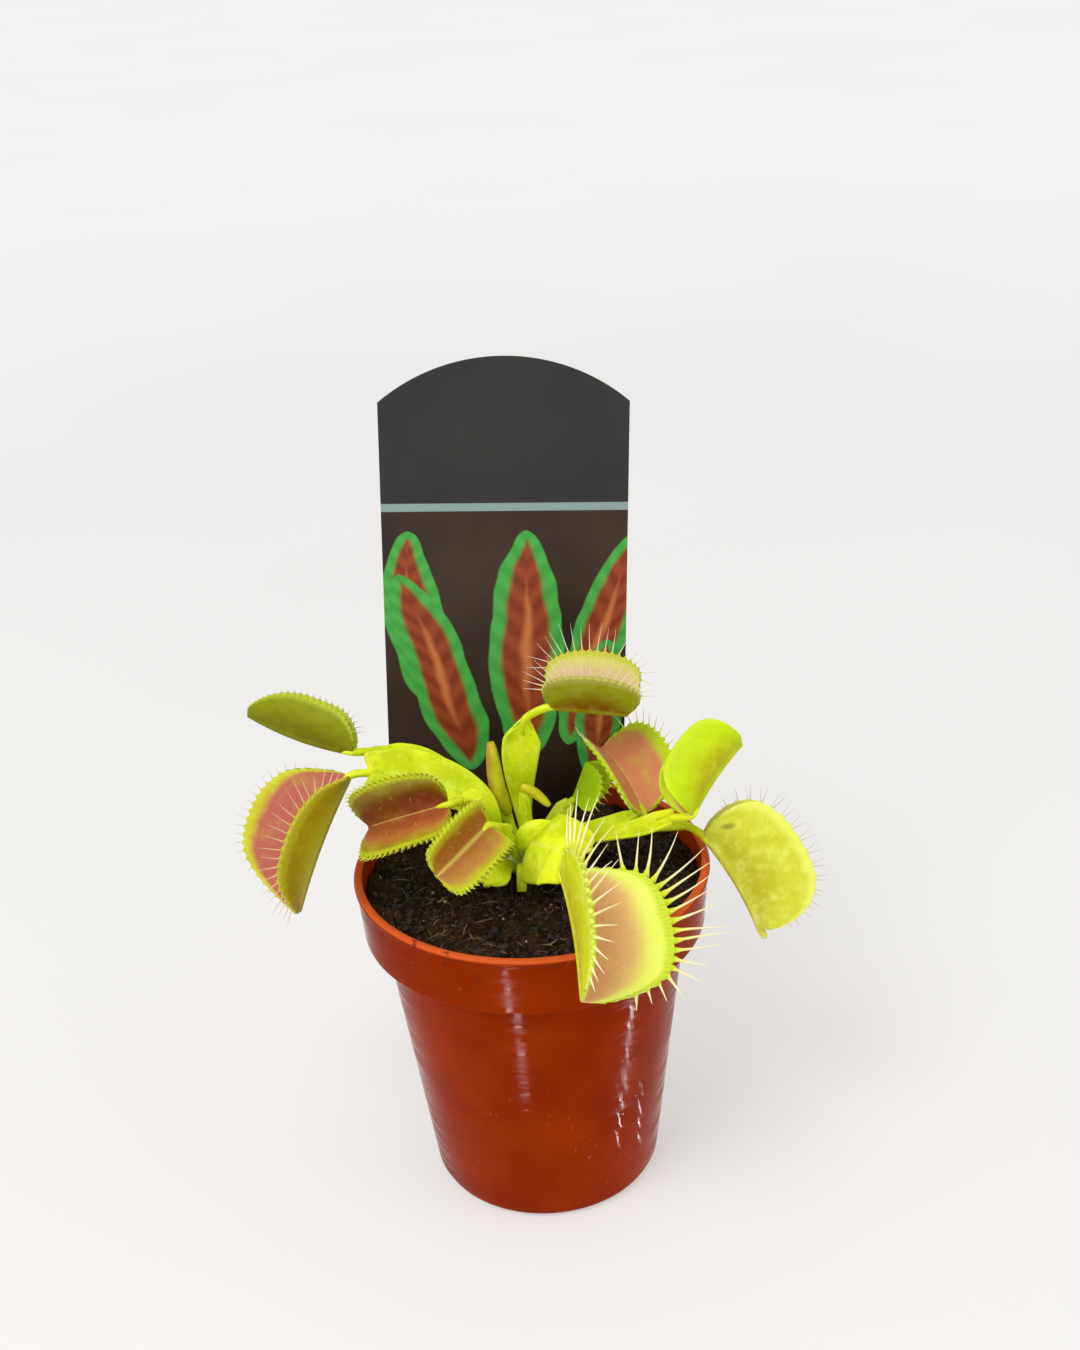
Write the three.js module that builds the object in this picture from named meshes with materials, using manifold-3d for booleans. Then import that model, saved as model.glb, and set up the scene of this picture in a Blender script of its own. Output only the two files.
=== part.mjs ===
// A Venus flytrap growing in a small plastic nursery pot, with a printed label stuck into the soil
// behind it. Millimetres, +Z up. The origin is the middle of the pot's flat base, on the surface that
// the pot stands on, and -Y is the plant's front. Every leaf is one body: a flat leaf stalk (petiole),
// a thin neck, and a trap of two lobes with a fringe of bristles (cilia).

import * as THREE from "three";
import { mergeVertices } from "three/addons/utils/BufferGeometryUtils.js";
import Module from "manifold-3d";

const wasm = await Module();
wasm.setup();

// ---------------------------------------------------------------- driving dimensions

const POT_HEIGHT = 80;
const RIM_RADIUS = 40;
const COLLAR_DEPTH = 14.5;
const COLLAR_FOOT_RADIUS = 38.6;
const BODY_TOP_RADIUS = 34.4;
const BASE_RADIUS = 26.6;
const WALL = 1;
const LIP_WIDTH = 2;
const BASE_RECESS = 1.5;
const DRAIN_HOLES = 6;
const DRAIN_RADIUS = 3.2;
const DRAIN_CIRCLE = 17;

const SOIL_LEVEL = 75;
const SOIL_MOUND = 1.2;
const SOIL_FLOOR = 3.2;
const GAP = 0.35; // between pieces that touch

const CROWN_X = -1;
const CROWN_Y = 6;
const CROWN_TOP = 81.6;
const CROWN_RADIUS = 6.4;
const ROOT_COUNT = 5;

const LABEL_WIDTH = 55;
const LABEL_TOP = 176.9;
const LABEL_ARCH = 10;
const LABEL_SHOULDER = 88;
const LABEL_STAKE_WIDTH = 15;
const LABEL_POINT = 38;
const LABEL_THICKNESS = 0.7;
const LABEL_X = -5.2; // where it enters the soil
const LABEL_Y = 24;
const LABEL_LEAN_BACK = 4.7; // degrees
const LABEL_LEAN_SIDE = 2.9;

const LOBE_THICKNESS = 0.8;
const BLADE_THICKNESS = 0.9;
const MIDRIB_THICKNESS = 1.6;
const NECK_RADIUS = 0.9;
const BRISTLE_WIDTH = 0.8;
const ROUNDED_END = 0.16; // share of a lobe's length in which its rim runs down to the midrib
const STEP = 0.01; // for slopes of a surface

const rad = THREE.MathUtils.degToRad;
const lerp = THREE.MathUtils.lerp;
const vec = (p) => new THREE.Vector3(...p);

// ---------------------------------------------------------------- the leaves

// stalk: points of the leaf stalk's middle line, from the crown to the neck. faces: where its upper
// side looks. width: of its wings, which they reach at the share of the length called swell. apex: the
// share of that width left where they end. fold: how far they fold up, as a share of their width.
// trap: neck to tip of the midrib, the way the mouth opens, each lobe's height at its middle, the
// share of it left at the ends, gape, which is the angle of a lobe from the mouth's direction [at the
// midrib, at the rim], how far the midrib bends back and the lobes fan out, in degrees, and the
// number and the length of the bristles on each lobe.
// finger: the path and the radius of a young trap that is still shut and round.
const LEAVES = [
  {
    name: "leaf_left_upper",
    stalk: [[-5.8, 8.4, 79.1], [-12.6, 11.5, 91], [-23, 11.5, 100.5], [-33, 6.5, 106.2]],
    faces: [-0.3, -0.5, 0.8], width: 6, swell: 0.75, apex: 0.4, fold: 0.15,
    trap: {
      from: [-37.3, 2.2, 108.6], to: [-60.1, 7.9, 116.8], opens: [0.37, 0.37, 0.85],
      lobe: 10.3, ends: 0.48, gape: [40, -30], bend: -22, fan: 6, bristles: 10, bristle: 3,
    },
  },
  {
    name: "leaf_left_outer",
    stalk: [[-6, 5.5, 79.2], [-10.4, 4.6, 92.5], [-22, 2.4, 100.4], [-34.3, -0.8, 104.8]],
    faces: [-0.25, -0.55, 0.8], width: 13, swell: 0.75, apex: 0.72, fold: 0.12,
    trap: {
      from: [-38.3, -2.1, 105], to: [-51.1, -15.2, 79.4], opens: [-0.91, -0.32, 0.25],
      lobe: 19.9, ends: 0.3, gape: [67, 31], bend: 14, fan: 11, bristles: 11, bristle: 5,
    },
  },
  {
    name: "leaf_left_gaping",
    stalk: [[-5.9, 3.6, 79.2], [-9.2, 0.1, 89.3], [-11.8, -4.6, 97.4], [-14.4, -8.8, 100.8]],
    faces: [-0.4, -0.6, 0.6], width: 7, swell: 0.75, apex: 0.5, fold: 0.15,
    trap: {
      from: [-16.8, -12.4, 102.3], to: [-34.6, -8.6, 95.7], opens: [-0.16, -0.82, 0.55],
      lobe: 11.1, ends: 0.58, gape: [44, 37], bend: 20, fan: 52, bristles: 12, bristle: 2,
    },
  },
  {
    name: "leaf_front_left",
    stalk: [[-3.2, 1.3, 80], [-4.7, -3, 88.3], [-7, -9, 94.2]],
    faces: [-0.3, -0.5, 0.7], width: 4, swell: 0.75, apex: 0.5, fold: 0.15,
    trap: {
      from: [-9.1, -12.7, 96.7], to: [-19.5, -30.8, 96], opens: [0.44, -0.68, 0.58],
      lobe: 7.8, ends: 0.66, gape: [59, 51], bend: 2, fan: 90, bristles: 11, bristle: 1.2,
    },
  },
  {
    name: "leaf_front_right",
    stalk: [[0.2, 1.2, 79.3], [0.2, -3.2, 85.2], [1.6, -8.8, 88.8], [5.4, -15, 91], [8.2, -21, 91.8]],
    faces: [0.02, -0.75, 0.6], width: 16.5, swell: 0.45, apex: 0.66, fold: -0.12,
    trap: {
      from: [6.1, -29.6, 94.3], to: [8.6, -53, 78.6], opens: [0.78, -0.36, 0.51],
      lobe: 19.9, ends: 0.46, gape: [46, 39], bend: 19, fan: 22, bristles: 12, bristle: 8,
    },
  },
  {
    name: "leaf_top",
    stalk: [[-0.6, 10.8, 79.4], [-1.4, 10.2, 90.5], [-1, 8, 102.8], [0.6, 5.6, 112.5]],
    faces: [0, -0.9, 0.4], width: 8.4, swell: 0.75, apex: 0.2, fold: 0.15,
    trap: {
      from: [6.3, 3.5, 116.1], to: [23, 1.7, 114.2], opens: [0, 0.12, 0.99],
      lobe: 14.4, ends: 0.45, gape: [43, 36], bend: 0, fan: 62, bristles: 11, bristle: 5,
    },
  },
  {
    name: "leaf_right_inner",
    stalk: [[3.7, 8.8, 79.2], [11, 10.3, 80.4], [19.1, 10.8, 81.9], [25.2, 9.5, 84.7]],
    faces: [0, -0.4, 0.9], width: 3.8, swell: 0.75, apex: 0.5, fold: 0.15,
    trap: {
      from: [25.7, 3.3, 88], to: [17.4, 18.2, 97.4], opens: [0.38, -0.74, 0.56],
      lobe: 12.6, ends: 0.31, gape: [43, 35], bend: 52, fan: 36, bristles: 10, bristle: 4,
    },
  },
  {
    name: "leaf_right_raised",
    stalk: [[3.9, 3, 79.3], [13.4, -1.9, 85.5], [23.5, -6.1, 89.8], [31, -8.4, 93.3]],
    faces: [0.05, -0.2, 1], width: 6.4, swell: 0.75, apex: 0.8, fold: 0.1,
    trap: {
      from: [35, -10.7, 95], to: [47.1, -1.2, 107.1], opens: [-0.79, 0.35, 0.51],
      lobe: 13.7, ends: 0.45, gape: [75, -42], bend: 16, fan: 51, bristles: 10, bristle: 1.2,
    },
  },
  {
    name: "leaf_right_outer",
    stalk: [[4.8, 5.4, 78.7], [15, 4, 81.8], [26, 2, 85], [34.6, -1.6, 87.2]],
    faces: [0, -0.1, 1], width: 3.8, swell: 0.75, apex: 0.6, fold: 0.15,
    trap: {
      from: [38, -4.6, 86.4], to: [49.6, -13, 66.5], opens: [0.89, 0.22, 0.39],
      lobe: 17.6, ends: 0.38, gape: [24, -17], bend: 19, fan: 63, bristles: 12, bristle: 5,
    },
  },
  {
    name: "leaf_young_right",
    stalk: [[1.9, 10.6, 79.4], [6.2, 13.8, 82], [9.6, 16.2, 84.8]],
    faces: [0, -0.9, 0.4], width: 4.6, swell: 0.75, apex: 0.6, fold: 0.15,
    trap: {
      from: [11.1, 16.7, 85.6], to: [14.5, 16.9, 94.7], opens: [0.94, -0.34, 0.1],
      lobe: 7.5, ends: 0.45, gape: [44, 16], bend: 0, fan: 40, bristles: 6, bristle: 1.4,
    },
  },
  {
    name: "leaf_young_upright",
    stalk: [[-3.5, 9.9, 79.2], [-4.5, 9.3, 84.5], [-5.4, 9, 89]],
    faces: [0.2, -0.9, 0.2], width: 2.4, swell: 0.75, apex: 0.8, fold: 0.1,
    finger: { path: [[-4.6, 9, 87], [-6.6, 8.6, 94], [-7.5, 8.6, 105.6]], radius: 1.9 },
  },
  {
    name: "leaf_bud",
    stalk: [[0.2, 4.6, 80], [-0.5, 4.6, 88], [-0.8, 4.5, 94.5]],
    faces: [0, -1, 0.2], width: 2.6, swell: 0.75, apex: 0.8, fold: 0.1,
    finger: { path: [[-1.3, 4.5, 96.4], [1.6, 3.8, 94.9], [4.8, 2.6, 92]], radius: 1.15 },
  },
  {
    name: "leaf_lower",
    stalk: [[-3.9, 0.9, 77.9], [-6.6, -4.8, 81.6], [-8.8, -9.6, 83.2], [-10.7, -13, 82.8]],
    faces: [0.1, -0.6, 0.8], width: 9, swell: 0.75, apex: 0.15, fold: 0.1,
  },
  {
    name: "leaf_stub",
    stalk: [[-1.7, 0.5, 77.9], [-2.3, -4, 80.6], [-2.3, -7.4, 81.6], [-2.4, -9, 79.8], [-2.5, -9.3, 77.7]],
    faces: [0, -0.7, 0.7], width: 2.2, swell: 0.75, apex: 0.9, fold: 0,
  },
];

// ---------------------------------------------------------------- solids from surfaces

// A closed mesh as a solid, with its shared vertices merged.
function solidOf(geometry) {
  const plain = geometry.clone();
  plain.deleteAttribute("normal");
  plain.deleteAttribute("uv");
  const merged = mergeVertices(plain, 1e-4);
  return new wasm.Manifold(
    new wasm.Mesh({
      numProp: 3,
      vertProperties: new Float32Array(merged.attributes.position.array),
      triVerts: new Uint32Array(merged.index.array),
    }),
  );
}

// A solid as a geometry with flat faces.
function geometryOf(solid) {
  const mesh = solid.getMesh();
  const positions = new Float32Array(mesh.numVert * 3);
  for (let i = 0; i < mesh.numVert; i++) {
    const start = i * mesh.numProp;
    positions.set(mesh.vertProperties.subarray(start, start + 3), i * 3);
  }
  return new THREE.BufferGeometry()
    .setAttribute("position", new THREE.BufferAttribute(positions, 3))
    .setIndex(new THREE.BufferAttribute(mesh.triVerts, 1));
}

// A curved plate: surface(u, v) is its middle, and thickness(u, v) is laid half on each side. rows
// holds v and the list of u of each row of points, and both faces are split along the same diagonals.
// A spike stands on each edge of the first and the last row whose start is a key of their spikes.
function plate(rows, surface, thickness) {
  const front = [];
  const back = [];
  const ids = rows.map(({ v, us }) =>
    us.map((u) => {
      const along = surface(u + STEP, v).sub(surface(u - STEP, v));
      const across = surface(u, v + STEP).sub(surface(u, v - STEP));
      const half = along.cross(across).setLength(thickness(u, v) / 2);
      back.push(surface(u, v).sub(half));
      return front.push(surface(u, v).add(half)) - 1;
    }),
  );
  const count = front.length;
  const index = [];
  const face = (a, b, c) => index.push(a, b, c, count + a, count + c, count + b);
  for (let r = 0; r + 1 < rows.length; r++) {
    const [low, high] = [ids[r], ids[r + 1]];
    const [lowUs, highUs] = [rows[r].us, rows[r + 1].us];
    let [i, j] = [0, 0];
    while (i + 1 < low.length || j + 1 < high.length) {
      if (j + 1 === high.length || (i + 1 < low.length && lowUs[i + 1] <= highUs[j + 1])) {
        face(low[i], low[i + 1], high[j]);
        i++;
      } else {
        face(low[i], high[j + 1], high[j]);
        j++;
      }
    }
  }
  const points = [...front, ...back];
  const wall = (a, b, tip) => {
    if (tip) {
      const apex = points.push(tip) - 1;
      index.push(a, count + a, apex, count + a, count + b, apex, count + b, b, apex, b, a, apex);
    } else {
      index.push(a, count + a, count + b, a, count + b, b);
    }
  };
  const [first, last] = [ids[0], ids.at(-1)];
  for (let k = 1; k < first.length; k++) wall(first[k - 1], first[k], rows[0].spikes?.get(k - 1));
  for (let k = 1; k < last.length; k++) wall(last[k], last[k - 1], rows.at(-1).spikes?.get(k - 1));
  for (let r = 1; r < ids.length; r++) {
    wall(ids[r - 1].at(-1), ids[r].at(-1));
    wall(ids[r][0], ids[r - 1][0]);
  }
  return new THREE.BufferGeometry().setFromPoints(points).setIndex(index);
}

// A round rod along a curve, with its radius given by a function of the share of the length.
function rod(curve, steps, sides, radius) {
  const frames = curve.computeFrenetFrames(steps, false);
  const points = [curve.getPoint(0)];
  for (let i = 0; i <= steps; i++) {
    const centre = curve.getPoint(i / steps);
    for (let k = 0; k < sides; k++) {
      const angle = (2 * Math.PI * k) / sides;
      const r = radius(i / steps);
      points.push(
        centre
          .clone()
          .addScaledVector(frames.normals[i], r * Math.cos(angle))
          .addScaledVector(frames.binormals[i], r * Math.sin(angle)),
      );
    }
  }
  points.push(curve.getPoint(1));
  const last = points.length - 1;
  const index = [];
  for (let k = 0; k < sides; k++) {
    const next = (k + 1) % sides;
    index.push(0, 1 + next, 1 + k);
    for (let i = 0; i < steps; i++) {
      const a = 1 + i * sides;
      const b = a + sides;
      index.push(a + k, a + next, b + next, a + k, b + next, b + k);
    }
    index.push(last, last - sides + k, last - sides + next);
  }
  return new THREE.BufferGeometry().setFromPoints(points).setIndex(index);
}

// ---------------------------------------------------------------- one leaf

// The leaf stalk: narrow where it leaves the crown, and winged and blunt at its far end.
function stalkSolid(leaf) {
  const curve = new THREE.CatmullRomCurve3(leaf.stalk.map(vec), false, "centripetal");
  const faces = vec(leaf.faces);
  const base = Math.min(3, leaf.width);
  const surface = (u, v) => {
    const share = THREE.MathUtils.clamp(u, 0, 1);
    const ahead = curve.getTangent(share);
    const centre = curve.getPoint(share).addScaledVector(ahead, (u - share) * curve.getLength());
    const up = faces.clone().addScaledVector(ahead, -faces.dot(ahead)).normalize();
    const side = ahead.clone().cross(up);
    const across = 2 * v - 1;
    const grown = THREE.MathUtils.smoothstep(u, 0.05, leaf.swell);
    const spent = THREE.MathUtils.smoothstep(u, 0.8, 1);
    const width = lerp(base, leaf.width, grown) * lerp(1, leaf.apex, spent);
    return centre
      .addScaledVector(side, (across * width) / 2)
      .addScaledVector(up, leaf.fold * width * across * across)
      .addScaledVector(ahead, 0.16 * width * across * across * spent);
  };
  const thickness = (u, v) => lerp(1.9, BLADE_THICKNESS, Math.min(1, 2.4 * Math.abs(v - 0.5)));
  const us = [0, 0.14, 0.28, 0.42, 0.56, 0.68, 0.8, 0.9, 1];
  return solidOf(plate([0, 0.25, 0.5, 0.75, 1].map((v) => ({ v, us })), surface, thickness));
}

// The trap's own frame: x along the midrib's chord, z the way the mouth opens, y across.
function trapFrame(trap) {
  const from = vec(trap.from);
  const to = vec(trap.to);
  const x = to.clone().sub(from).normalize();
  const opens = vec(trap.opens);
  const z = opens.addScaledVector(x, -opens.dot(x)).normalize();
  return { from, x, y: z.clone().cross(x), z, length: from.distanceTo(to) };
}

// A point of the midrib, which bends back from the mouth along an arc.
function midribPoint(trap, frame, u) {
  const half = rad(trap.bend) / 2 || 1e-4;
  const radius = frame.length / 2 / Math.sin(half);
  const angle = (2 * u - 1) * half;
  return frame.from
    .clone()
    .addScaledVector(frame.x, frame.length / 2 + radius * Math.sin(angle))
    .addScaledVector(frame.z, radius * (Math.cos(angle) - Math.cos(half)));
}

// A point of the lobes: u along the midrib, and v from -1 at one rim over 0 at the midrib to 1 at the
// other rim. Each lobe curls from its angle at the midrib to its angle at the rim.
function lobePoint(trap, frame, u, v) {
  const end = Math.min(1, Math.abs(2 * u - 1));
  const corner = Math.max(0, 1 - (1 - end) / 2 / ROUNDED_END);
  const round = lerp(0.6, 1, Math.sqrt(1 - corner * corner));
  const share = round * lerp(trap.ends, 1, Math.pow(1 - Math.pow(end, 2.4), 0.6));
  const first = rad(trap.gape[0]);
  const turn = rad(trap.gape[1]) - first;
  const angle = first + turn * Math.abs(v) * share;
  const out = (trap.lobe * (Math.sin(angle) - Math.sin(first))) / turn;
  const across = (trap.lobe * (Math.cos(first) - Math.cos(angle))) / turn;
  const fan = rad(trap.fan) * (u - 0.5);
  return midribPoint(trap, frame, u)
    .addScaledVector(frame.x, out * Math.sin(fan))
    .addScaledVector(frame.z, out * Math.cos(fan))
    .addScaledVector(frame.y, Math.sign(v) * across);
}

// One rim, with its row of bristles: each goes on from the lobe and leans in over the mouth, and
// those of the two lobes stand in each other's gaps.
function rimRow(trap, frame, side) {
  const us = [0];
  const spikes = new Map();
  for (let k = 0; k < trap.bristles; k++) {
    const share = (k + 0.5 + 0.25 * side) / trap.bristles;
    const u = 0.5 - 0.5 * Math.cos(Math.PI * lerp(0.14, 0.86, share));
    const root = lobePoint(trap, frame, u, side);
    const along = lobePoint(trap, frame, u + STEP, side).sub(lobePoint(trap, frame, u - STEP, side));
    const half = (BRISTLE_WIDTH * STEP) / along.length();
    along.normalize();
    const direction = root.clone().sub(lobePoint(trap, frame, u, 0.9 * side)).normalize();
    direction.addScaledVector(along, -direction.dot(along)).normalize();
    direction.addScaledVector(frame.y, -0.3 * side).normalize();
    const length = trap.bristle * (0.55 + 0.45 * Math.sin(Math.PI * share));
    us.push(u - half);
    spikes.set(us.length - 1, root.addScaledVector(direction, length));
    us.push(u + half);
  }
  us.push(1);
  return { v: side, us, spikes };
}

// Both lobes in one piece, thickest at the midrib.
function trapSolid(trap, frame) {
  const us = [0, 0.06, 0.18, 0.34, 0.5, 0.66, 0.82, 0.94, 1];
  const rows = [
    rimRow(trap, frame, -1),
    ...[-0.7, -0.35, 0, 0.35, 0.7].map((v) => ({ v, us })),
    rimRow(trap, frame, 1),
  ];
  const crease = Math.max(MIDRIB_THICKNESS, LOBE_THICKNESS / Math.sin(rad(trap.gape[0])));
  const thickness = (u, v) => (v === 0 ? crease : LOBE_THICKNESS);
  return solidOf(plate(rows, (u, v) => lobePoint(trap, frame, u, v), thickness));
}

function leafSolid(leaf) {
  const pieces = [stalkSolid(leaf)];
  const { trap, finger } = leaf;
  const apex = vec(leaf.stalk.at(-1));
  if (finger) {
    const path = new THREE.CatmullRomCurve3(finger.path.map(vec));
    const round = (t) => finger.radius * Math.sqrt(Math.sin(Math.PI * lerp(0.08, 0.94, t)));
    pieces.push(solidOf(rod(path, 7, 8, round)));
  }
  if (trap) {
    const frame = trapFrame(trap);
    const inside = vec(leaf.stalk.at(-2)).lerp(apex, 0.6);
    const ribs = [0, 0.12, 0.24].map((u) => midribPoint(trap, frame, u));
    const neck = new THREE.CatmullRomCurve3([inside, apex, ...ribs], false, "centripetal");
    pieces.push(solidOf(rod(neck, 6, 6, () => NECK_RADIUS)), trapSolid(trap, frame));
  }
  return wasm.Manifold.union(pieces);
}

// ---------------------------------------------------------------- pot, soil, crown, label

function turned(profile, segments) {
  return solidOf(new THREE.LatheGeometry(profile.map(([r, z]) => new THREE.Vector2(r, z)), segments)
    .rotateX(Math.PI / 2));
}

function potSolid() {
  const collarFoot = POT_HEIGHT - COLLAR_DEPTH;
  const outer = [
    [0, 0], [12, 0], [13, BASE_RECESS], [21, BASE_RECESS], [22, 0], [BASE_RADIUS - 2.4, 0],
    [BASE_RADIUS - 0.8, 0.7], [BASE_RADIUS, 2.4],
    [BODY_TOP_RADIUS, collarFoot], [COLLAR_FOOT_RADIUS - 0.6, collarFoot],
    [COLLAR_FOOT_RADIUS, collarFoot + 0.6], [RIM_RADIUS - 0.5, POT_HEIGHT - 1.8],
    [RIM_RADIUS, POT_HEIGHT - 1.2], [RIM_RADIUS - 0.4, POT_HEIGHT - 0.2],
    [RIM_RADIUS - 1, POT_HEIGHT],
  ];
  const inner = [
    [RIM_RADIUS - LIP_WIDTH, POT_HEIGHT - 0.3],
    [COLLAR_FOOT_RADIUS - WALL, collarFoot + 1.6], [BODY_TOP_RADIUS - WALL, collarFoot - 0.4],
    [BASE_RADIUS - WALL, 3.4], [BASE_RADIUS - 2.4, BASE_RECESS + WALL], [0, BASE_RECESS + WALL],
  ];
  let pot = turned([...outer, ...inner], 44);
  for (let k = 0; k < DRAIN_HOLES; k++) {
    const angle = (2 * Math.PI * k) / DRAIN_HOLES;
    const drill = new THREE.CylinderGeometry(DRAIN_RADIUS, DRAIN_RADIUS, 8, 12).rotateX(Math.PI / 2);
    drill.translate(DRAIN_CIRCLE * Math.cos(angle), DRAIN_CIRCLE * Math.sin(angle), 2);
    pot = pot.subtract(solidOf(drill));
  }
  return pot;
}

// The crown: the pale bulb that the leaves grow from. extra swells it, for the hole that it stands in.
function crownSolid(extra) {
  const bulb = turned(
    [
      [0, 58 - extra], [3, 60 - extra], [5.6, 67], [CROWN_RADIUS, 73], [CROWN_RADIUS, 77.5],
      [5.4, 80], [3, 81.2], [0, CROWN_TOP],
    ].map(([r, z]) => [r && r + extra, z > 79 ? z + extra : z]),
    16,
  ).translate([CROWN_X, CROWN_Y, 0]);
  const roots = [];
  for (let k = 0; k < ROOT_COUNT; k++) {
    const angle = (2 * Math.PI * (k + 0.3)) / ROOT_COUNT;
    const [dx, dy] = [Math.cos(angle), Math.sin(angle)];
    const depth = 18 + 5 * (k % 2);
    const curve = new THREE.CatmullRomCurve3(
      [[1.5, 63], [5.5, 54], [9.5, 40], [11, depth]].map(([r, z]) =>
        vec([CROWN_X + r * dx, CROWN_Y + r * dy, z])),
    );
    roots.push(solidOf(rod(curve, 5, 5, (t) => lerp(1.3, 0.8, t) + extra)));
  }
  return wasm.Manifold.union([bulb, ...roots]);
}

function soilSolid() {
  const collarFoot = POT_HEIGHT - COLLAR_DEPTH;
  const profile = [
    [0, SOIL_FLOOR], [BASE_RADIUS - 3, SOIL_FLOOR], [BASE_RADIUS - WALL - GAP, 4],
    [BODY_TOP_RADIUS - WALL - GAP, collarFoot - 0.3], [COLLAR_FOOT_RADIUS - WALL - GAP, collarFoot + 1.9],
    [COLLAR_FOOT_RADIUS - WALL - GAP, SOIL_LEVEL],
    [33, SOIL_LEVEL], [26, SOIL_LEVEL], [19, SOIL_LEVEL], [12, SOIL_LEVEL], [6, SOIL_LEVEL],
    [0, SOIL_LEVEL],
  ];
  const lathe = new THREE.LatheGeometry(profile.map(([r, z]) => new THREE.Vector2(r, z)), 30);
  lathe.rotateX(Math.PI / 2);
  const positions = lathe.attributes.position;
  for (let i = 0; i < positions.count; i++) {
    if (positions.getZ(i) < SOIL_LEVEL - 0.1) continue;
    const [x, y] = [positions.getX(i), positions.getY(i)];
    const r = Math.hypot(x, y);
    const lumps = 0.3 * Math.sin(0.9 * x + 1) * Math.cos(0.8 * y) + 0.2 * Math.sin(0.5 * x - 1.1 * y);
    const mound = SOIL_MOUND * (1 - (r / COLLAR_FOOT_RADIUS) ** 2);
    positions.setZ(i, SOIL_LEVEL + mound + lumps);
  }
  return solidOf(lathe);
}

// The label's outline, point down, with its arched head up, as a flat plate. extra swells it.
function labelSolid(extra) {
  const half = LABEL_WIDTH / 2 + extra;
  const stake = LABEL_STAKE_WIDTH / 2 + extra;
  const arch = (half ** 2 + LABEL_ARCH ** 2) / (2 * LABEL_ARCH);
  const spread = Math.asin(half / arch);
  const shape = new THREE.Shape();
  shape.moveTo(0, LABEL_POINT - extra);
  shape.lineTo(stake, LABEL_POINT + 12);
  shape.lineTo(stake, LABEL_SHOULDER - 13);
  shape.lineTo(half, LABEL_SHOULDER);
  shape.lineTo(half, LABEL_TOP);
  shape.absarc(0, LABEL_TOP + LABEL_ARCH - arch, arch, Math.PI / 2 - spread, Math.PI / 2 + spread, false);
  shape.lineTo(-half, LABEL_SHOULDER);
  shape.lineTo(-stake, LABEL_SHOULDER - 13);
  shape.lineTo(-stake, LABEL_POINT + 12);
  const depth = LABEL_THICKNESS + 2 * extra;
  const plate = new THREE.ExtrudeGeometry(shape, { depth, bevelEnabled: false, curveSegments: 16 });
  plate.translate(0, -SOIL_LEVEL, -depth / 2);
  plate.rotateX(Math.PI / 2);
  plate.rotateY(rad(LABEL_LEAN_SIDE));
  plate.rotateX(rad(-LABEL_LEAN_BACK));
  plate.translate(LABEL_X, LABEL_Y, SOIL_LEVEL);
  return solidOf(plate);
}

// ---------------------------------------------------------------- the whole plant

const finish = {
  pot: { color: 0x9a2c0c, roughness: 0.32, metalness: 0 },
  soil: { color: 0x2b1d14, roughness: 0.95, metalness: 0 },
  crown: { color: 0xc9d59a, roughness: 0.5, metalness: 0 },
  label: { color: 0x35322f, roughness: 0.35, metalness: 0 },
  leaf: { color: 0xb6cc14, roughness: 0.4, metalness: 0 },
};

const plant = new THREE.Group();
function add(name, solid, look) {
  const mesh = new THREE.Mesh(geometryOf(solid), new THREE.MeshStandardMaterial(finish[look]));
  mesh.name = name;
  plant.add(mesh);
}

const crownRoom = crownSolid(GAP);
const soil = soilSolid().subtract(crownRoom).subtract(labelSolid(GAP));
add("pot", potSolid(), "pot");
add("soil", soil, "soil");
add("crown", crownSolid(0), "crown");
add("label", labelSolid(0), "label");
for (const leaf of LEAVES) add(leaf.name, leafSolid(leaf).subtract(crownRoom), "leaf");

export default plant;
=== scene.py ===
import random
from math import acos, asin, atan2, copysign, cos, exp, pi, radians, sin, sqrt

import bmesh
import bpy
from mathutils import Matrix, Vector, noise


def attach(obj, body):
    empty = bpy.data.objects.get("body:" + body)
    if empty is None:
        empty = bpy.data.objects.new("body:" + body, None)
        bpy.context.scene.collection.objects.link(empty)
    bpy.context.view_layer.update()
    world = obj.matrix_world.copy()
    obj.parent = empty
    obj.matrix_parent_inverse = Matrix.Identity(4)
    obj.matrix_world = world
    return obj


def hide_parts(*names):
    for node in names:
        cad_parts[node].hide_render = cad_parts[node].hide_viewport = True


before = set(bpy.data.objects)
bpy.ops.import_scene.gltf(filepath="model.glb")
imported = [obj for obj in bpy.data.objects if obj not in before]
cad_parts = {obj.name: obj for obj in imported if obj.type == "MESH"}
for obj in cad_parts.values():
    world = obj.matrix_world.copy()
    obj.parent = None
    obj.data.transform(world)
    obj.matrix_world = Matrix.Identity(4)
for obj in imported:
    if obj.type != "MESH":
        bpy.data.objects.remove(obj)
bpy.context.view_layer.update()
scene = bpy.context.scene

# ---------------------------------------------------------------- the studio
# The plant stands on a pale table that runs on out of sight, and is seen from a little above its
# front. One broad soft lamp hangs over its left shoulder and a second fills from the right. Three rows
# of small lamps along the table, seen only in glossy surfaces, draw the broken glints down the pot.

# Metres and degrees, and millimetres for the lens.
CAMERA_PLACE = (0, -0.33397, 0.28189)
CAMERA_TILT = 64.905
CAMERA_HEADING = -0.72
CAMERA_ROLL = -3.12
CAMERA_LENS = 46.13
GLINT_AIM = 0.8  # how high up the pot's axis a glint lamp aims, as a share of its distance
TABLE_REACH = 6


def placed(name, data):
    """A new object in the scene."""
    made = bpy.data.objects.new(name, data)
    scene.collection.objects.link(made)
    return made


def mesh_of(name, bm):
    """The finished mesh, after which bm is gone."""
    mesh = bpy.data.meshes.new(name)
    bm.to_mesh(mesh)
    bm.free()
    return mesh


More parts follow.
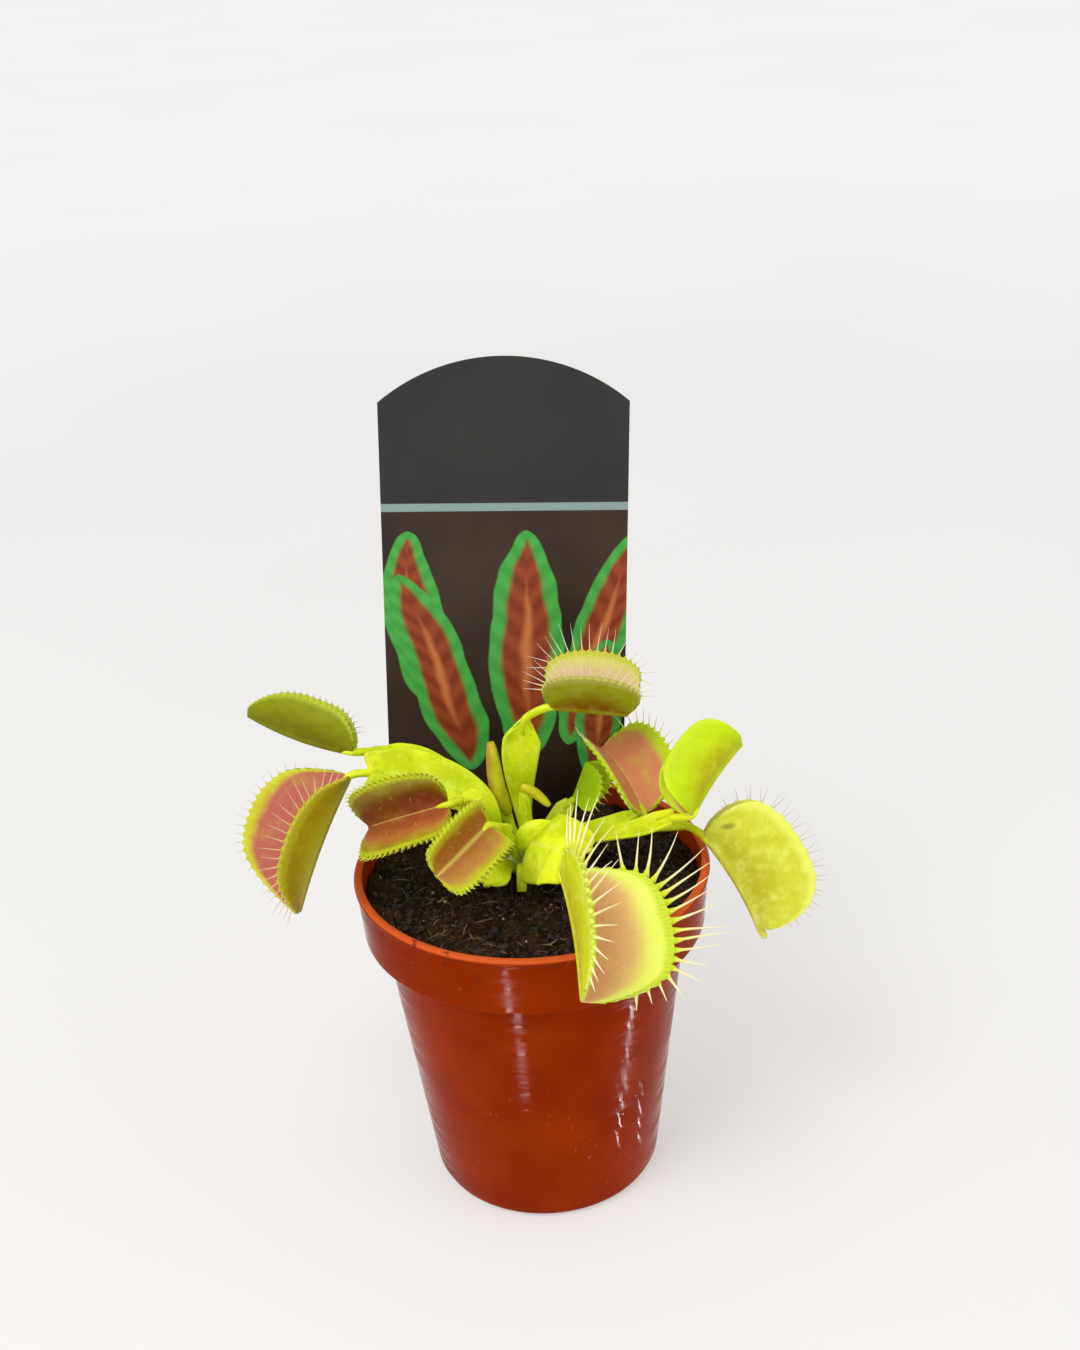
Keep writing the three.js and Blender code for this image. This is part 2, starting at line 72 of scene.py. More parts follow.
view = placed("view", bpy.data.cameras.new("view"))
view.data.lens = CAMERA_LENS
view.data.sensor_width = 36
view.matrix_world = (
    Matrix.Translation(CAMERA_PLACE)
    @ Matrix.Rotation(radians(CAMERA_HEADING), 4, "Z")
    @ Matrix.Rotation(radians(CAMERA_TILT), 4, "X")
    @ Matrix.Rotation(radians(CAMERA_ROLL), 4, "Z")
)
scene.camera = view
scene.view_settings.view_transform = "Standard"

world = bpy.data.worlds.new("room")
world.use_nodes = True
world.node_tree.nodes["Background"].inputs["Color"].default_value = (0.95, 0.945, 0.94, 1)
world.node_tree.nodes["Background"].inputs["Strength"].default_value = 0.82
scene.world = world


def lamp(name, place, size, power, aim=(0, 0, 0.08)):
    """A rectangular soft lamp, size wide and high, aimed at the middle of the plant."""
    made = bpy.data.lights.new(name, "AREA")
    made.shape = "RECTANGLE"
    made.size, made.size_y = size
    made.energy = power
    holder = placed(name, made)
    holder.location = place
    holder.rotation_euler = (Vector(aim) - Vector(place)).to_track_quat("-Z", "Y").to_euler()
    holder.visible_camera = False
    return holder


def glints(name, first, last, spots, width, glare):
    """Short lamps low on the table, for glints only. Each spot is a share of the way from first to
    last, a length in metres and a brightness."""
    first, last = Vector(first), Vector(last)
    for share, length, bright in spots:
        where = first.lerp(last, share)
        power = glare * bright * width * length
        row = lamp(name, where, (width, length), power, aim=(0, 0, where.length * GLINT_AIM))
        row.visible_diffuse = False


LEFT_GLINTS = [
    (0.10, 0.002, 0.2), (0.17, 0.003, 0.3), (0.26, 0.003, 0.5), (0.34, 0.004, 0.6), (0.43, 0.004, 0.9),
    (0.52, 0.005, 0.7), (0.60, 0.003, 1.0), (0.76, 0.009, 1.0), (0.88, 0.008, 1.6), (0.98, 0.006, 1.1),
]
RIGHT_GLINTS = [
    (0.00, 0.002, 0.3), (0.07, 0.002, 0.5), (0.15, 0.003, 0.6), (0.26, 0.004, 0.8), (0.37, 0.003, 1.0),
    (0.47, 0.004, 1.1), (0.58, 0.005, 1.0), (0.69, 0.005, 1.3), (0.82, 0.004, 0.9), (0.93, 0.003, 0.5),
]
THIN_GLINTS = [(0.0, 0.0015, 0.5), (0.3, 0.0015, 0.8), (0.6, 0.0015, 0.9), (1.0, 0.0015, 0.6)]
lamp("over", (-0.30, -0.38, 0.72), (0.40, 0.40), 3.6)
lamp("fill", (0.55, -0.25, 0.45), (0.30, 0.45), 0.6)
glints("glint_left", (-0.008, -0.036, 0.003), (-0.042, -0.122, 0.004), LEFT_GLINTS, 0.0050, 900)
glints("glint_right", (0.025, -0.0224, 0.003), (0.079, -0.0189, 0.004), RIGHT_GLINTS, 0.0007, 700)
glints("glint_thin", (0.028, -0.0129, 0.003), (0.0386, -0.0089, 0.004), THIN_GLINTS, 0.0004, 260)


class Paint:
    """One output of a material's nodes. Arithmetic on it adds Math nodes, node() adds any other."""

    def __init__(self, tree, socket=None):
        self.tree = tree
        self.socket = socket

    def node(self, kind, inputs, out=0, **settings):
        made = self.tree.nodes.new("ShaderNode" + kind)
        for name, value in settings.items():
            setattr(made, name, value)
        for name, value in inputs.items():
            socket = made.inputs[name]
            if isinstance(value, Paint):
                self.tree.links.new(value.socket, socket)
            elif socket.type == "RGBA":
                socket.default_value = (*(hue(value) if isinstance(value, str) else value), 1)
            else:
                socket.default_value = value
        return Paint(self.tree, made.outputs[out])

    def math(self, operation, *values):
        return self.node("Math", dict(enumerate(values)), operation=operation)

    def __add__(self, other):
        return self.math("ADD", self, other)

    def __sub__(self, other):
        return self.math("SUBTRACT", self, other)

    def __rsub__(self, other):
        return self.math("SUBTRACT", other, self)

    def __mul__(self, other):
        return self.math("MULTIPLY", self, other)

    def __pow__(self, other):
        return self.math("POWER", self, other)

    def __abs__(self):
        return self.math("ABSOLUTE", self)

    def wave(self, count, start=0.0):
        """From -1 to 1 and back, count times as the value goes from 0 to 1."""
        return self.math("SINE", self * (2 * pi * count) + start)

    def step(self, low, high, first=0.0, last=1.0):
        """Goes smoothly from first to last as the value goes from low to high."""
        return self.node(
            "MapRange",
            {"Value": self, "From Min": low, "From Max": high, "To Min": first, "To Max": last},
            interpolation_type="SMOOTHSTEP",
        )

    def mix(self, zero, one):
        """The colour zero where the value is 0, and one where it is 1. A colour may be a hex code."""
        return self.node("Mix", {0: self, 6: zero, 7: one}, 2, data_type="RGBA")

    def place(self):
        """Where a point of the surface is, in metres."""
        return self.node("TexCoord", {}, "Object")

    def part(self, axis):
        """The x, y or z of a vector, by its number."""
        return self.node("SeparateXYZ", {0: self}, axis)

    def far(self, flat=False):
        """The distance from the origin, or with flat from the upright through it."""
        place = self.place()
        if flat:
            place = self.node("VectorMath", {0: place, 1: (1, 1, 0)}, operation="MULTIPLY")
        return self.node("VectorMath", {0: place}, "Value", operation="LENGTH")

    def stretch(self, scale):
        """A place, measured with its own scale along x, y and z."""
        return self.node("Mapping", {"Vector": self, "Scale": scale})

    def noise(self, scale, detail=3.0, rough=0.5, over=None):
        """Soft mottling from about 0 to 1, scale to the metre."""
        vector = over or self.place()
        inputs = {"Vector": vector, "Scale": scale, "Detail": detail, "Roughness": rough}
        return self.node("TexNoise", inputs)

    def bent(self, scale, reach):
        """The place, shifted to and fro by up to reach metres, so that cells on it lose their roundness."""
        shift = self.node("TexNoise", {"Vector": self.place(), "Scale": scale * 12, "Detail": 2.0}, 1)
        shift = self.node("VectorMath", {0: shift, "Scale": reach}, operation="SCALE")
        return self.node("VectorMath", {0: self.place(), 1: shift}, operation="ADD")

    def cells(self, scale, over=None):
        """The distance to the middle of the nearest of many small cells."""
        return self.node("TexVoronoi", {"Vector": over or self.place(), "Scale": scale})

    def mark(self, name):
        """A value that the mesh carries under this name."""
        return self.node("Attribute", {}, "Fac", attribute_name=name)


def hue(code):
    """The colour with this sRGB hex code, in linear light."""
    parts = [int(code[i : i + 2], 16) / 255 for i in (0, 2, 4)]
    return tuple(c / 12.92 if c < 0.04045 else ((c + 0.055) / 1.055) ** 2.4 for c in parts)


def finish(name, constants, pattern):
    """A material. pattern(paint) returns its colour, its roughness, its height and that height's metres."""
    made = bpy.data.materials.new(name)
    made.use_nodes = True
    shader = made.node_tree.nodes["Principled BSDF"]
    for socket, value in constants.items():
        shader.inputs[socket].default_value = value
    paint = Paint(made.node_tree)
    colour, rough, height, depth = pattern(paint)
    made.node_tree.links.new(colour.socket, shader.inputs["Base Color"])
    made.node_tree.links.new(rough.socket, shader.inputs["Roughness"])
    bump = paint.node("Bump", {"Strength": 1.0, "Distance": depth, "Height": height})
    made.node_tree.links.new(bump.socket, shader.inputs["Normal"])
    return made


def table_top(paint):
    tone = paint.noise(3, 2)
    grain = paint.noise(900, 2)
    return tone.step(0.3, 0.7).mix("aeacaa", "b2b0ae"), grain.step(0, 1, 0.6, 0.7), grain, 0.00002


bm = bmesh.new()
bmesh.ops.create_grid(bm, x_segments=1, y_segments=1, size=TABLE_REACH)
table = placed("table", mesh_of("table", bm))
table_finish = finish("table_top", {"Emission Strength": 1.0, "Specular IOR Level": 0.0}, table_top)
paint = Paint(table_finish.node_tree)
glow = paint.far().step(0.15, 1.6).mix((0.42, 0.417, 0.413), (0.57, 0.572, 0.575))
table_shader = table_finish.node_tree.nodes["Principled BSDF"]
table_finish.node_tree.links.new(glow.socket, table_shader.inputs["Emission Color"])
table.data.materials.append(table_finish)

# ---------------------------------------------------------------- the pot
# A small nursery pot, moulded in one shot of glossy terracotta-coloured polypropylene about 1 mm
# thick: a deep collar with a rolled lip, a step under it, a tapering body and a foot ring round a
# recess with six drainage holes. The mould's turning marks leave fine level ripples on its skin.

MM = 0.001
POT_OUTSIDE = [
    (0, 0), (12, 0), (13, 1.5), (21, 1.5), (22, 0), (24.2, 0), (25.8, 0.7), (26.6, 2.4),
    (34.4, 65.5), (38.0, 65.5), (38.6, 66.1), (39.5, 78.2), (40, 78.8), (39.6, 79.8), (39, 80),
]
POT_INSIDE = [(38, 79.7), (37.6, 67.1), (33.4, 65.1), (25.6, 3.4), (24.2, 2.5), (0, 2.5)]
POT_ROUND = 0.35
POT_STEPS = 160
POT_SHARP = 0.5  # radians between two faces, from which their edge is rounded
DRAIN_HOLES = 6
DRAIN_RADIUS = 3.2
DRAIN_CIRCLE = 17
DRAIN_HEIGHT = 2
DRAIN_DEPTH = 8


def around(radius, turn):
    """The x and y of a point at this distance from the upright, turned this far round it."""
    return radius * cos(turn), radius * sin(turn)


def turned(profile, steps):
    """A mesh of the profile's (radius, height) points, in millimetres, spun once round the upright."""
    bm = bmesh.new()
    line = [bm.verts.new((radius * MM, 0, height * MM)) for radius, height in profile]
    edges = [bm.edges.new(pair) for pair in zip(line, line[1:])]
    bmesh.ops.spin(
        bm, geom=line + edges, cent=(0, 0, 0), axis=(0, 0, 1), angle=2 * pi, steps=steps,
        use_merge=True,
    )
    bmesh.ops.remove_doubles(bm, verts=bm.verts, dist=1e-6)
    bmesh.ops.recalc_face_normals(bm, faces=bm.faces)
    return bm


def soften(bm, edges, radius, steps):
    """Rounds these edges."""
    bmesh.ops.bevel(
        bm, geom=edges, offset=radius, offset_type="OFFSET", segments=steps, profile=0.5,
        affect="EDGES", material=-1, clamp_overlap=True,
    )


def piece(name, bm, materials, node):
    """Makes the finished mesh a piece that stands for a CAD node, and lets it ride on the whole."""
    for face in bm.faces:
        face.smooth = True
    made = placed(name, mesh_of(name, bm))
    for material in materials:
        made.data.materials.append(material)
    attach(made, "root")
    if node:
        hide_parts(node)
    return made


def pot_skin(paint):
    height = paint.place().part(2)
    marks = paint.noise(1, 2, 0.6, over=paint.place().stretch((30, 30, 420)))
    fine = paint.noise(1, 2, 0.5, over=paint.place().stretch((120, 120, 1800)))
    sway = paint.noise(1, 1, 0.5, over=paint.place().stretch((28, 28, 45)))
    cloud = paint.noise(60, 3)
    soiled = paint.noise(38, 3)
    flecks = paint.cells(520, over=paint.bent(60, 0.004)).step(0.05, 0.11, 1, 0)
    flecks = flecks * soiled.step(0.60, 0.66)
    dust = paint.cells(430, over=paint.bent(90, 0.004)).step(0.04, 0.10, 1, 0)
    dust = dust * paint.noise(52, 2).step(0.47, 0.57)
    smear = paint.noise(150, 4, 0.7).step(0.58, 0.68) * height.step(0.071, 0.079)
    smear = smear * paint.noise(25, 2).step(0.45, 0.6)
    # Painted highlight: the top of the rolled lip is painted a lighter orange, where the lamps above catch
    # it.
    lip = height.step(0.0790, 0.0795)
    # Painted light: the inside of the collar is painted a brighter orange, where the lamps shine on it and
    # through the thin wall.
    inner = paint.far(flat=True).step(0.03825, 0.0384, 1, 0) * height.step(0.0655, 0.066)
    colour = cloud.step(0.25, 0.75).mix("852500", "983001")
    colour = (height.step(0.0655, 0.0665) * 0.35).mix(colour, "7f2301")
    # The painted light on the inside of the collar.
    colour = (inner * 0.9).mix(colour, "b03c14")
    # The painted highlight on the top of the lip.
    colour = lip.mix(colour, "cc5828")
    colour = (dust * 0.7).mix(colour, "d8a086")
    colour = (smear * 0.8).mix(colour, "3a1c0e")
    colour = (flecks * 0.85).mix(colour, "1f120b")
    rough = marks.step(0.4, 0.62, 0.05, 0.2) + (flecks + smear) * 0.35
    return colour, rough, marks * 0.85 + fine * 0.06 + sway * 0.5 + cloud * 0.2, 0.00012


bm = turned(POT_OUTSIDE + POT_INSIDE, POT_STEPS)
corners = [edge for edge in bm.edges if edge.is_manifold and edge.calc_face_angle() > POT_SHARP]
soften(bm, corners, POT_ROUND * MM, 3)
drills = bmesh.new()
for k in range(DRAIN_HOLES):
    turn = 2 * pi * k / DRAIN_HOLES
    where = Vector((*around(DRAIN_CIRCLE, turn), DRAIN_HEIGHT)) * MM
    bmesh.ops.create_cone(
        drills, cap_ends=True, segments=32, radius1=DRAIN_RADIUS * MM, radius2=DRAIN_RADIUS * MM,
        depth=DRAIN_DEPTH * MM, matrix=Matrix.Translation(where),
    )
drill = placed("drills", mesh_of("drills", drills))
pot = piece("nursery_pot", bm, [finish("pot_skin", {"IOR": 1.055}, pot_skin)], "pot")
cut = pot.modifiers.new("holes", "BOOLEAN")
cut.object = drill
cut.solver = "EXACT"
pot.data = bpy.data.meshes.new_from_object(pot.evaluated_get(bpy.context.evaluated_depsgraph_get()))
pot.modifiers.clear()
bpy.data.objects.remove(drill)

# ---------------------------------------------------------------- the soil
# Damp dark peat that fills the pot to 5 mm under its rim: a lumpy mass with loose crumbs, shreds of
# fibre and a few pale grains lying on it.

SOIL_RADIUS = 37.25
SOIL_SIDE = [(0, 3.2), (23.6, 3.2), (25.25, 4), (33.05, 65.2), (SOIL_RADIUS, 67.4)]
SOIL_LEVEL = 75
SOIL_MOUND = 1.2
MOUND_RADIUS = 38.6
SOIL_RINGS = 96
SOIL_STEPS = 380
CRUMBS = 1200
PALE_GRAINS = 80
SHREDS = 420


def soil_height(x, y):
    """The height of the peat's top, in millimetres, with its lumps and hollows."""
    mound = SOIL_MOUND * (1 - (x * x + y * y) / MOUND_RADIUS**2)
    broad = 0.3 * sin(0.9 * x + 1) * cos(0.8 * y) + 0.2 * sin(0.5 * x - 1.1 * y)
    spot = Vector((x, y, 0))
    lumps = noise.fractal(spot * 0.33, 0.7, 2.1, 5) * 0.9
    grit = abs(noise.noise(spot * 1.5 + Vector((7, 3, 1)))) * -0.9
    return SOIL_LEVEL + mound + broad + lumps + grit


def peat(paint):
    grain = paint.noise(1500, 5, 0.7)
    clods = paint.noise(230, 4, 0.65)
    strands = paint.noise(1, 3, 0.6, over=paint.bent(30, 0.006).stretch((1500, 260, 700)))
    specks = paint.cells(1500).step(0.10, 0.18, 1, 0) * paint.noise(300, 2).step(0.56, 0.62)
    colour = clods.step(0.34, 0.66).mix("070301", "3e2817")
    colour = (grain.step(0.52, 0.7) * 0.7).mix(colour, "684a30")
    colour = (strands.step(0.56, 0.72) * 0.6).mix(colour, "80623f")
    colour = (specks * 0.7).mix(colour, "a8927a")
    return colour, clods.step(0.3, 0.7, 0.6, 0.92), grain + clods * 0.8 + strands * 0.5, 0.0009


def shred(paint):
    tone = paint.noise(95, 2)
    grain = paint.noise(2500, 2)
    return tone.step(0.35, 0.8).mix("24150b", "947450"), grain.step(0, 1, 0.7, 0.9), grain, 0.0001


def pale_grain(paint):
    tone = paint.noise(700, 3)
    return tone.step(0.3, 0.7).mix("7d6d5c", "b0a494"), tone.step(0, 1, 0.7, 0.9), tone, 0.0002


def route(points):
    """A smooth curve through the points: a function of the share of their number, from 0 to 1."""
    points = [Vector(p) for p in points]
    points = [2 * points[0] - points[1], *points, 2 * points[-1] - points[-2]]

    def at(share):
        place = min(max(share, 0), 1) * (len(points) - 3)
        first = min(int(place), len(points) - 4)
        p0, p1, p2, p3 = points[first : first + 4]
        a, b, c = [max((q - p).length, 1e-4) ** 0.5 for p, q in ((p0, p1), (p1, p2), (p2, p3))]
        leave = ((p1 - p0) / a - (p2 - p0) / (a + b) + (p2 - p1) / b) * b
        reach = ((p2 - p1) / b - (p3 - p1) / (b + c) + (p3 - p2) / c) * b
        t = place - first
        return (
            p1 + leave * t + (3 * (p2 - p1) - 2 * leave - reach) * t**2
            + (2 * (p1 - p2) + leave + reach) * t**3
        )

    return at


def marked(bm):
    """The three marks of a mesh's points that a finish may read."""
    return [bm.verts.layers.float.new(name) for name in ("along", "across", "inside")]


def rod(path, radius, steps, sides, level=(0.3, 0.5, 0.8)):
    """A closed rod along path(t), as thick as radius(t), both in millimetres."""
    bm = bmesh.new()
    bmesh.ops.create_cone(bm, cap_ends=True, segments=sides, radius1=1, radius2=1, depth=1)
    upright = [edge for edge in bm.edges if abs(edge.verts[0].co.z - edge.verts[1].co.z) > 0.5]
    bmesh.ops.subdivide_edges(bm, edges=upright, cuts=steps - 1)
    along, across, _ = marked(bm)
    rings = {}
    for vert in bm.verts:
        t = vert.co.z + 0.5
        key = round(t, 4)
        if key not in rings:
            ahead = (path(t + 0.01) - path(t - 0.01)).normalized()
            side = Vector(level).cross(ahead).normalized()
            rings[key] = path(t), side, ahead.cross(side), radius(t)
        centre, side, up, thick = rings[key]
        vert[along] = t
        vert[across] = vert.co.y
        vert.co = (centre + (side * vert.co.x + up * vert.co.y) * thick) * MM
    return bm


def join(bm, part, material=0):
    """Adds one finished part to a mesh that is being put together, and lets go of it."""
    for face in part.faces:
        face.material_index = material
    spare = mesh_of("spare", part)
    bm.from_mesh(spare)
    bpy.data.meshes.remove(spare)


top = [(SOIL_RADIUS * (1 - k / SOIL_RINGS), SOIL_LEVEL) for k in range(SOIL_RINGS + 1)]
bm = turned(SOIL_SIDE + top, SOIL_STEPS)
for vert in bm.verts:
    if vert.co.z > (SOIL_LEVEL - 0.1) * MM:
        vert.co.z = soil_height(vert.co.x / MM, vert.co.y / MM) * MM
bmesh.ops.recalc_face_normals(bm, faces=bm.faces)
piece("peat", bm, [finish("peat", {"Specular IOR Level": 0.12}, peat)], "soil")

dice = random.Random(11)


def soil_spot(room=1.5):
    """A random place on the peat, clear of the pot's wall."""
    r = (SOIL_RADIUS - room) * sqrt(dice.random())
    return around(r, dice.uniform(0, 2 * pi))


def crumbs(name, count, sizes, material):
    """Loose grains scattered on the peat, each one squashed and ragged."""
    bm = bmesh.new()
    for _ in range(count):
        x, y = soil_spot()
        size = dice.uniform(*sizes) * dice.uniform(0.6, 1)
        shape = Matrix.Diagonal((*[size * dice.uniform(0.35, 1.25) for _ in range(3)], 1))
        tilt = Matrix.Rotation(dice.uniform(0, 6.28), 4, Vector((dice.random(), dice.random(), 1)))
        where = Matrix.Translation((x, y, soil_height(x, y) + 0.25 * size))
        grain = bmesh.ops.create_icosphere(bm, subdivisions=2, radius=1)["verts"]
        for vert in grain:
            knob = 1 + 1.1 * noise.noise(vert.co * 1.9 + Vector((x, y, size)))
            vert.co = (where @ tilt @ shape @ (vert.co * knob)) * MM
    piece(name, bm, [material], None)


crumbs("peat_crumbs", CRUMBS, (0.25, 1.0), bpy.data.materials["peat"])
crumbs("pale_grains", PALE_GRAINS, (0.16, 0.38), finish("pale_grain", {}, pale_grain))

bm = bmesh.new()
for _ in range(SHREDS):
    x, y = soil_spot(5)
    turn = dice.uniform(0, 2 * pi)
    length = dice.uniform(1.0, 6.5) * dice.uniform(0.4, 1)
    lift = dice.uniform(0.2, 0.65)
    line = []
    for share in (-0.5, -0.15, 0.2, 0.5):
        bend = dice.uniform(-0.02, 0.02) * length
        px = x + share * length * cos(turn) - bend * sin(turn)
        py = y + share * length * sin(turn) + bend * cos(turn)
        line.append((px, py, soil_height(px, py) + lift + dice.uniform(-0.05, 0.05)))
    thick = dice.uniform(0.05, 0.22)
    join(bm, rod(route(line), lambda t, thick=thick: thick * (1.05 - abs(2 * t - 1) ** 2), 5, 5))
piece("peat_shreds", bm, [finish("shred", {}, shred)], None)

# ---------------------------------------------------------------- the crown
# The short pale bulb of packed leaf bases that every leaf grows from. Only its top shows above the
# peat; five stout roots run down from it.

CROWN_PLACE = (-1, 6)
CROWN_SIDE = [
    (0, 58), (3, 60), (5.6, 67), (6.4, 73), (6.4, 77.5), (5.4, 80), (3, 81.2), (1.2, 81.5), (0, 81.6),
]
CROWN_STEPS = 60
ROOTS = 5
ROOT_RADIUS = 1.3


def crown_flesh(paint):
    tone = paint.noise(350, 3)
    strands = paint.noise(1, 2, over=paint.place().stretch((900, 900, 120)))
    height = paint.place().part(2)
    colour = tone.step(0.3, 0.7).mix("b9c46f", "dfe0ae")
    colour = (strands.step(0.5, 0.75) * 0.5).mix(colour, "8a9a3c")
    colour = height.step(0.074, 0.079).mix("6f5a3c", colour)
    return colour, tone.step(0, 1, 0.45, 0.6), strands, 0.0003


bm = turned(CROWN_SIDE, CROWN_STEPS)
bmesh.ops.subdivide_edges(bm, edges=bm.edges, cuts=1, smooth=0.6)
for vert in bm.verts:
    turn = atan2(vert.co.y, vert.co.x)
    swell = 1 - 0.06 * abs(sin(3.5 * turn + 40 * vert.co.z))
    vert.co.x, vert.co.y = vert.co.x * swell, vert.co.y * swell
bmesh.ops.translate(bm, verts=bm.verts, vec=Vector((*CROWN_PLACE, 0)) * MM)
for k in range(ROOTS):
    turn = 2 * pi * (k + 0.3) / ROOTS
    depth = 18 + 5 * (k % 2)
    line = [
        (CROWN_PLACE[0] + r * cos(turn), CROWN_PLACE[1] + r * sin(turn), z)
        for r, z in ((1.5, 63), (5.5, 54), (9.5, 40), (11, depth))
    ]
    join(bm, rod(route(line), lambda t: ROOT_RADIUS - 0.5 * t, 16, 10))
crown_finish = finish("crown_flesh", {"Subsurface Weight": 0.1}, crown_flesh)
piece("crown_bulb", bm, [crown_finish], "crown")

# ---------------------------------------------------------------- the label
# A stiff plastic plant label with an arched head, die-cut from a 0.7 mm sheet and pushed into the
# peat by its stake. It is printed on its front: a charcoal head, a pale stripe, and under it a plain
# pattern of long leaf blades. Its back is bare.

LABEL_HALF = 27.5
LABEL_TOP = 176.9
LABEL_ARCH = 10
LABEL_SHOULDER = 88
LABEL_STAKE_HALF = 7.5
LABEL_POINT = 38
LABEL_POINT_RISE = 12
LABEL_SHOULDER_DROP = 13
LABEL_ARCH_STEPS = 16
LABEL_ROUND = 0.12
LABEL_SHARP = 1.2  # radians between two faces, from which their edge is rounded
LABEL_THICKNESS = 0.7
LABEL_PLACE = (-5.2, 24)
LABEL_LEAN_BACK = 4.7
LABEL_LEAN_SIDE = 2.9
STRIPE_HEIGHT = 153.4
# Each printed blade's place across, the height of its foot, its lean, its half width and its height.
LABEL_BLADES = [
    (14, 96, 0.30, 7, 52), (-20, 108, -0.05, 7, 40), (4, 92, 0.02, 9, 56), (-8, 90, -0.32, 8, 48),
    (20, 88, 0.12, 6, 34),
]


def label_print(paint):
    across = paint.mark("along")
    up = paint.mark("across")
    front = paint.mark("inside").step(0.4, 0.6)
    sheet = paint.noise(25, 3).step(0.35, 0.7).mix("241712", "3c2a20")
    for x, foot, lean, wide, tall in LABEL_BLADES:
        high = (up - foot) * (1 / tall)
        off = across - x - (up - foot) * lean + (paint.noise(60, 2) - 0.5) * 5
        half = paint.math("SQRT", paint.math("MAXIMUM", high * (1 - high), 0.0)) * (2 * wide)
        inward = (half - abs(off)) * (1 / wide)
        inward = inward * paint.math("GREATER_THAN", half, 0.01)
        veins = (high * 9 - abs(off) * (1.4 / wide)).wave(1) * 0.5 + 0.5
        heart = (veins * 0.5).mix("7c2f16", "a24c26")
        heart = inward.step(0.75, 1).mix(heart, "c0703c")
        rim = (veins * 0.4).mix("3a963c", "59b452")
        blade = inward.step(0.28, 0.5).mix(rim, heart)
        sheet = inward.step(0.02, 0.08).mix(sheet, blade)
    head = paint.noise(40, 2).step(0.3, 0.7).mix("2a2827", "302e2c")
    sheet = up.step(STRIPE_HEIGHT - 1.0, STRIPE_HEIGHT - 0.8).mix(sheet, "839793")
    sheet = up.step(STRIPE_HEIGHT + 0.8, STRIPE_HEIGHT + 1.0).mix(sheet, head)
    sheet = front.mix("d9d7d0", sheet)
    grain = paint.noise(1600, 2)
    return sheet, grain.step(0.2, 0.8, 0.34, 0.42), grain, 0.00002


arch_radius = (LABEL_HALF**2 + LABEL_ARCH**2) / (2 * LABEL_ARCH)
spread = asin(LABEL_HALF / arch_radius)
right = [
    (0, LABEL_POINT), (LABEL_STAKE_HALF, LABEL_POINT + LABEL_POINT_RISE),
    (LABEL_STAKE_HALF, LABEL_SHOULDER - LABEL_SHOULDER_DROP), (LABEL_HALF, LABEL_SHOULDER),
    (LABEL_HALF, LABEL_TOP),
]
for k in range(1, LABEL_ARCH_STEPS + 1):
    turn = spread * (1 - k / LABEL_ARCH_STEPS)
    right.append((arch_radius * sin(turn), LABEL_TOP + LABEL_ARCH - arch_radius * (1 - cos(turn))))
outline = right + [(-x, z) for x, z in reversed(right[1:-1])]
bm = bmesh.new()
along, across, inside = marked(bm)
card = bm.faces.new([bm.verts.new((x, -LABEL_THICKNESS / 2, z)) for x, z in outline])
grown = bmesh.ops.extrude_face_region(bm, geom=[card])["geom"]
backs = [item for item in grown if isinstance(item, bmesh.types.BMVert)]
bmesh.ops.translate(bm, verts=backs, vec=(0, LABEL_THICKNESS, 0))
bmesh.ops.recalc_face_normals(bm, faces=bm.faces)
rims = [edge for edge in bm.edges if edge.calc_face_angle(0) > LABEL_SHARP]
soften(bm, rims, LABEL_ROUND, 2)
lean = Matrix.Rotation(radians(-LABEL_LEAN_BACK), 4, "X") @ Matrix.Rotation(
    radians(LABEL_LEAN_SIDE), 4, "Y"
)
place = Matrix.Translation((*LABEL_PLACE, SOIL_LEVEL)) @ lean @ Matrix.Translation((0, 0, -SOIL_LEVEL))
for vert in bm.verts:
    vert[along], vert[across] = vert.co.x, vert.co.z
    vert[inside] = 1.0 if vert.co.y < 0 else 0.0
    vert.co = (place @ vert.co) * MM
label_finish = finish("label_print", {"Specular IOR Level": 0.25}, label_print)
label = piece("plant_label", bm, [label_finish], "label")
for face in label.data.polygons:
    face.use_smooth = False

# ---------------------------------------------------------------- the leaves
# Each leaf grew in one piece: a flat fleshy stalk with a thick middle vein, a thin round neck, and a
# trap of two lobes hinged on the midrib, fringed with stiff bristles and with three trigger hairs on
# each lobe. The flesh is satin and yellow-green, and the trap's inside is flushed pink to brown-red.

LOBE_THICKNESS = 0.8
BLADE_THICKNESS = 0.9
RIB_THICKNESS = 1.9
MIDRIB_THICKNESS = 1.6
FOLD_RADIUS = 0.9
NECK_RADIUS = 0.9
RIM_BAND = 0.86
THIN_EDGE = 0.12  # share of a plate's thickness that is left at its edge
SWELL = 0.75  # where along a stalk it has come to its full width
FOLD = 0.15  # how far a stalk's edges bend up, as a share of its width
END_ROUND = 0.17
END_SHARE = 0.25
FRINGE_FIRST, FRINGE_LAST = 0.14, 0.86
BEAD_REACH, BEAD_SWAY, BEAD_ROLL = 0.5, 0.28, 0.3
LOBE_RIPPLE = 0.2
TRIGGER_HAIRS = [(0.36, 0.42), (0.52, 0.58), (0.68, 0.42)]
HAIR_LENGTH, HAIR_RADIUS = 1.2, 0.08
PEG_LENGTH, PEG_RADIUS = 2.6, 0.8
STALK_GRID = (64, 28)
TRAP_GRID = (132, 60)
FLESH = {"Subsurface Weight": 0.1, "Subsurface Scale": 0.0012, "Specular IOR Level": 0.12}


def ease(low, high, value):
    """Goes smoothly from 0 to 1 as value goes from low to high."""
    t = min(max((value - low) / (high - low), 0), 1)
    return t * t * (3 - 2 * t)


def blend(first, last, share):
    return first + (last - first) * share


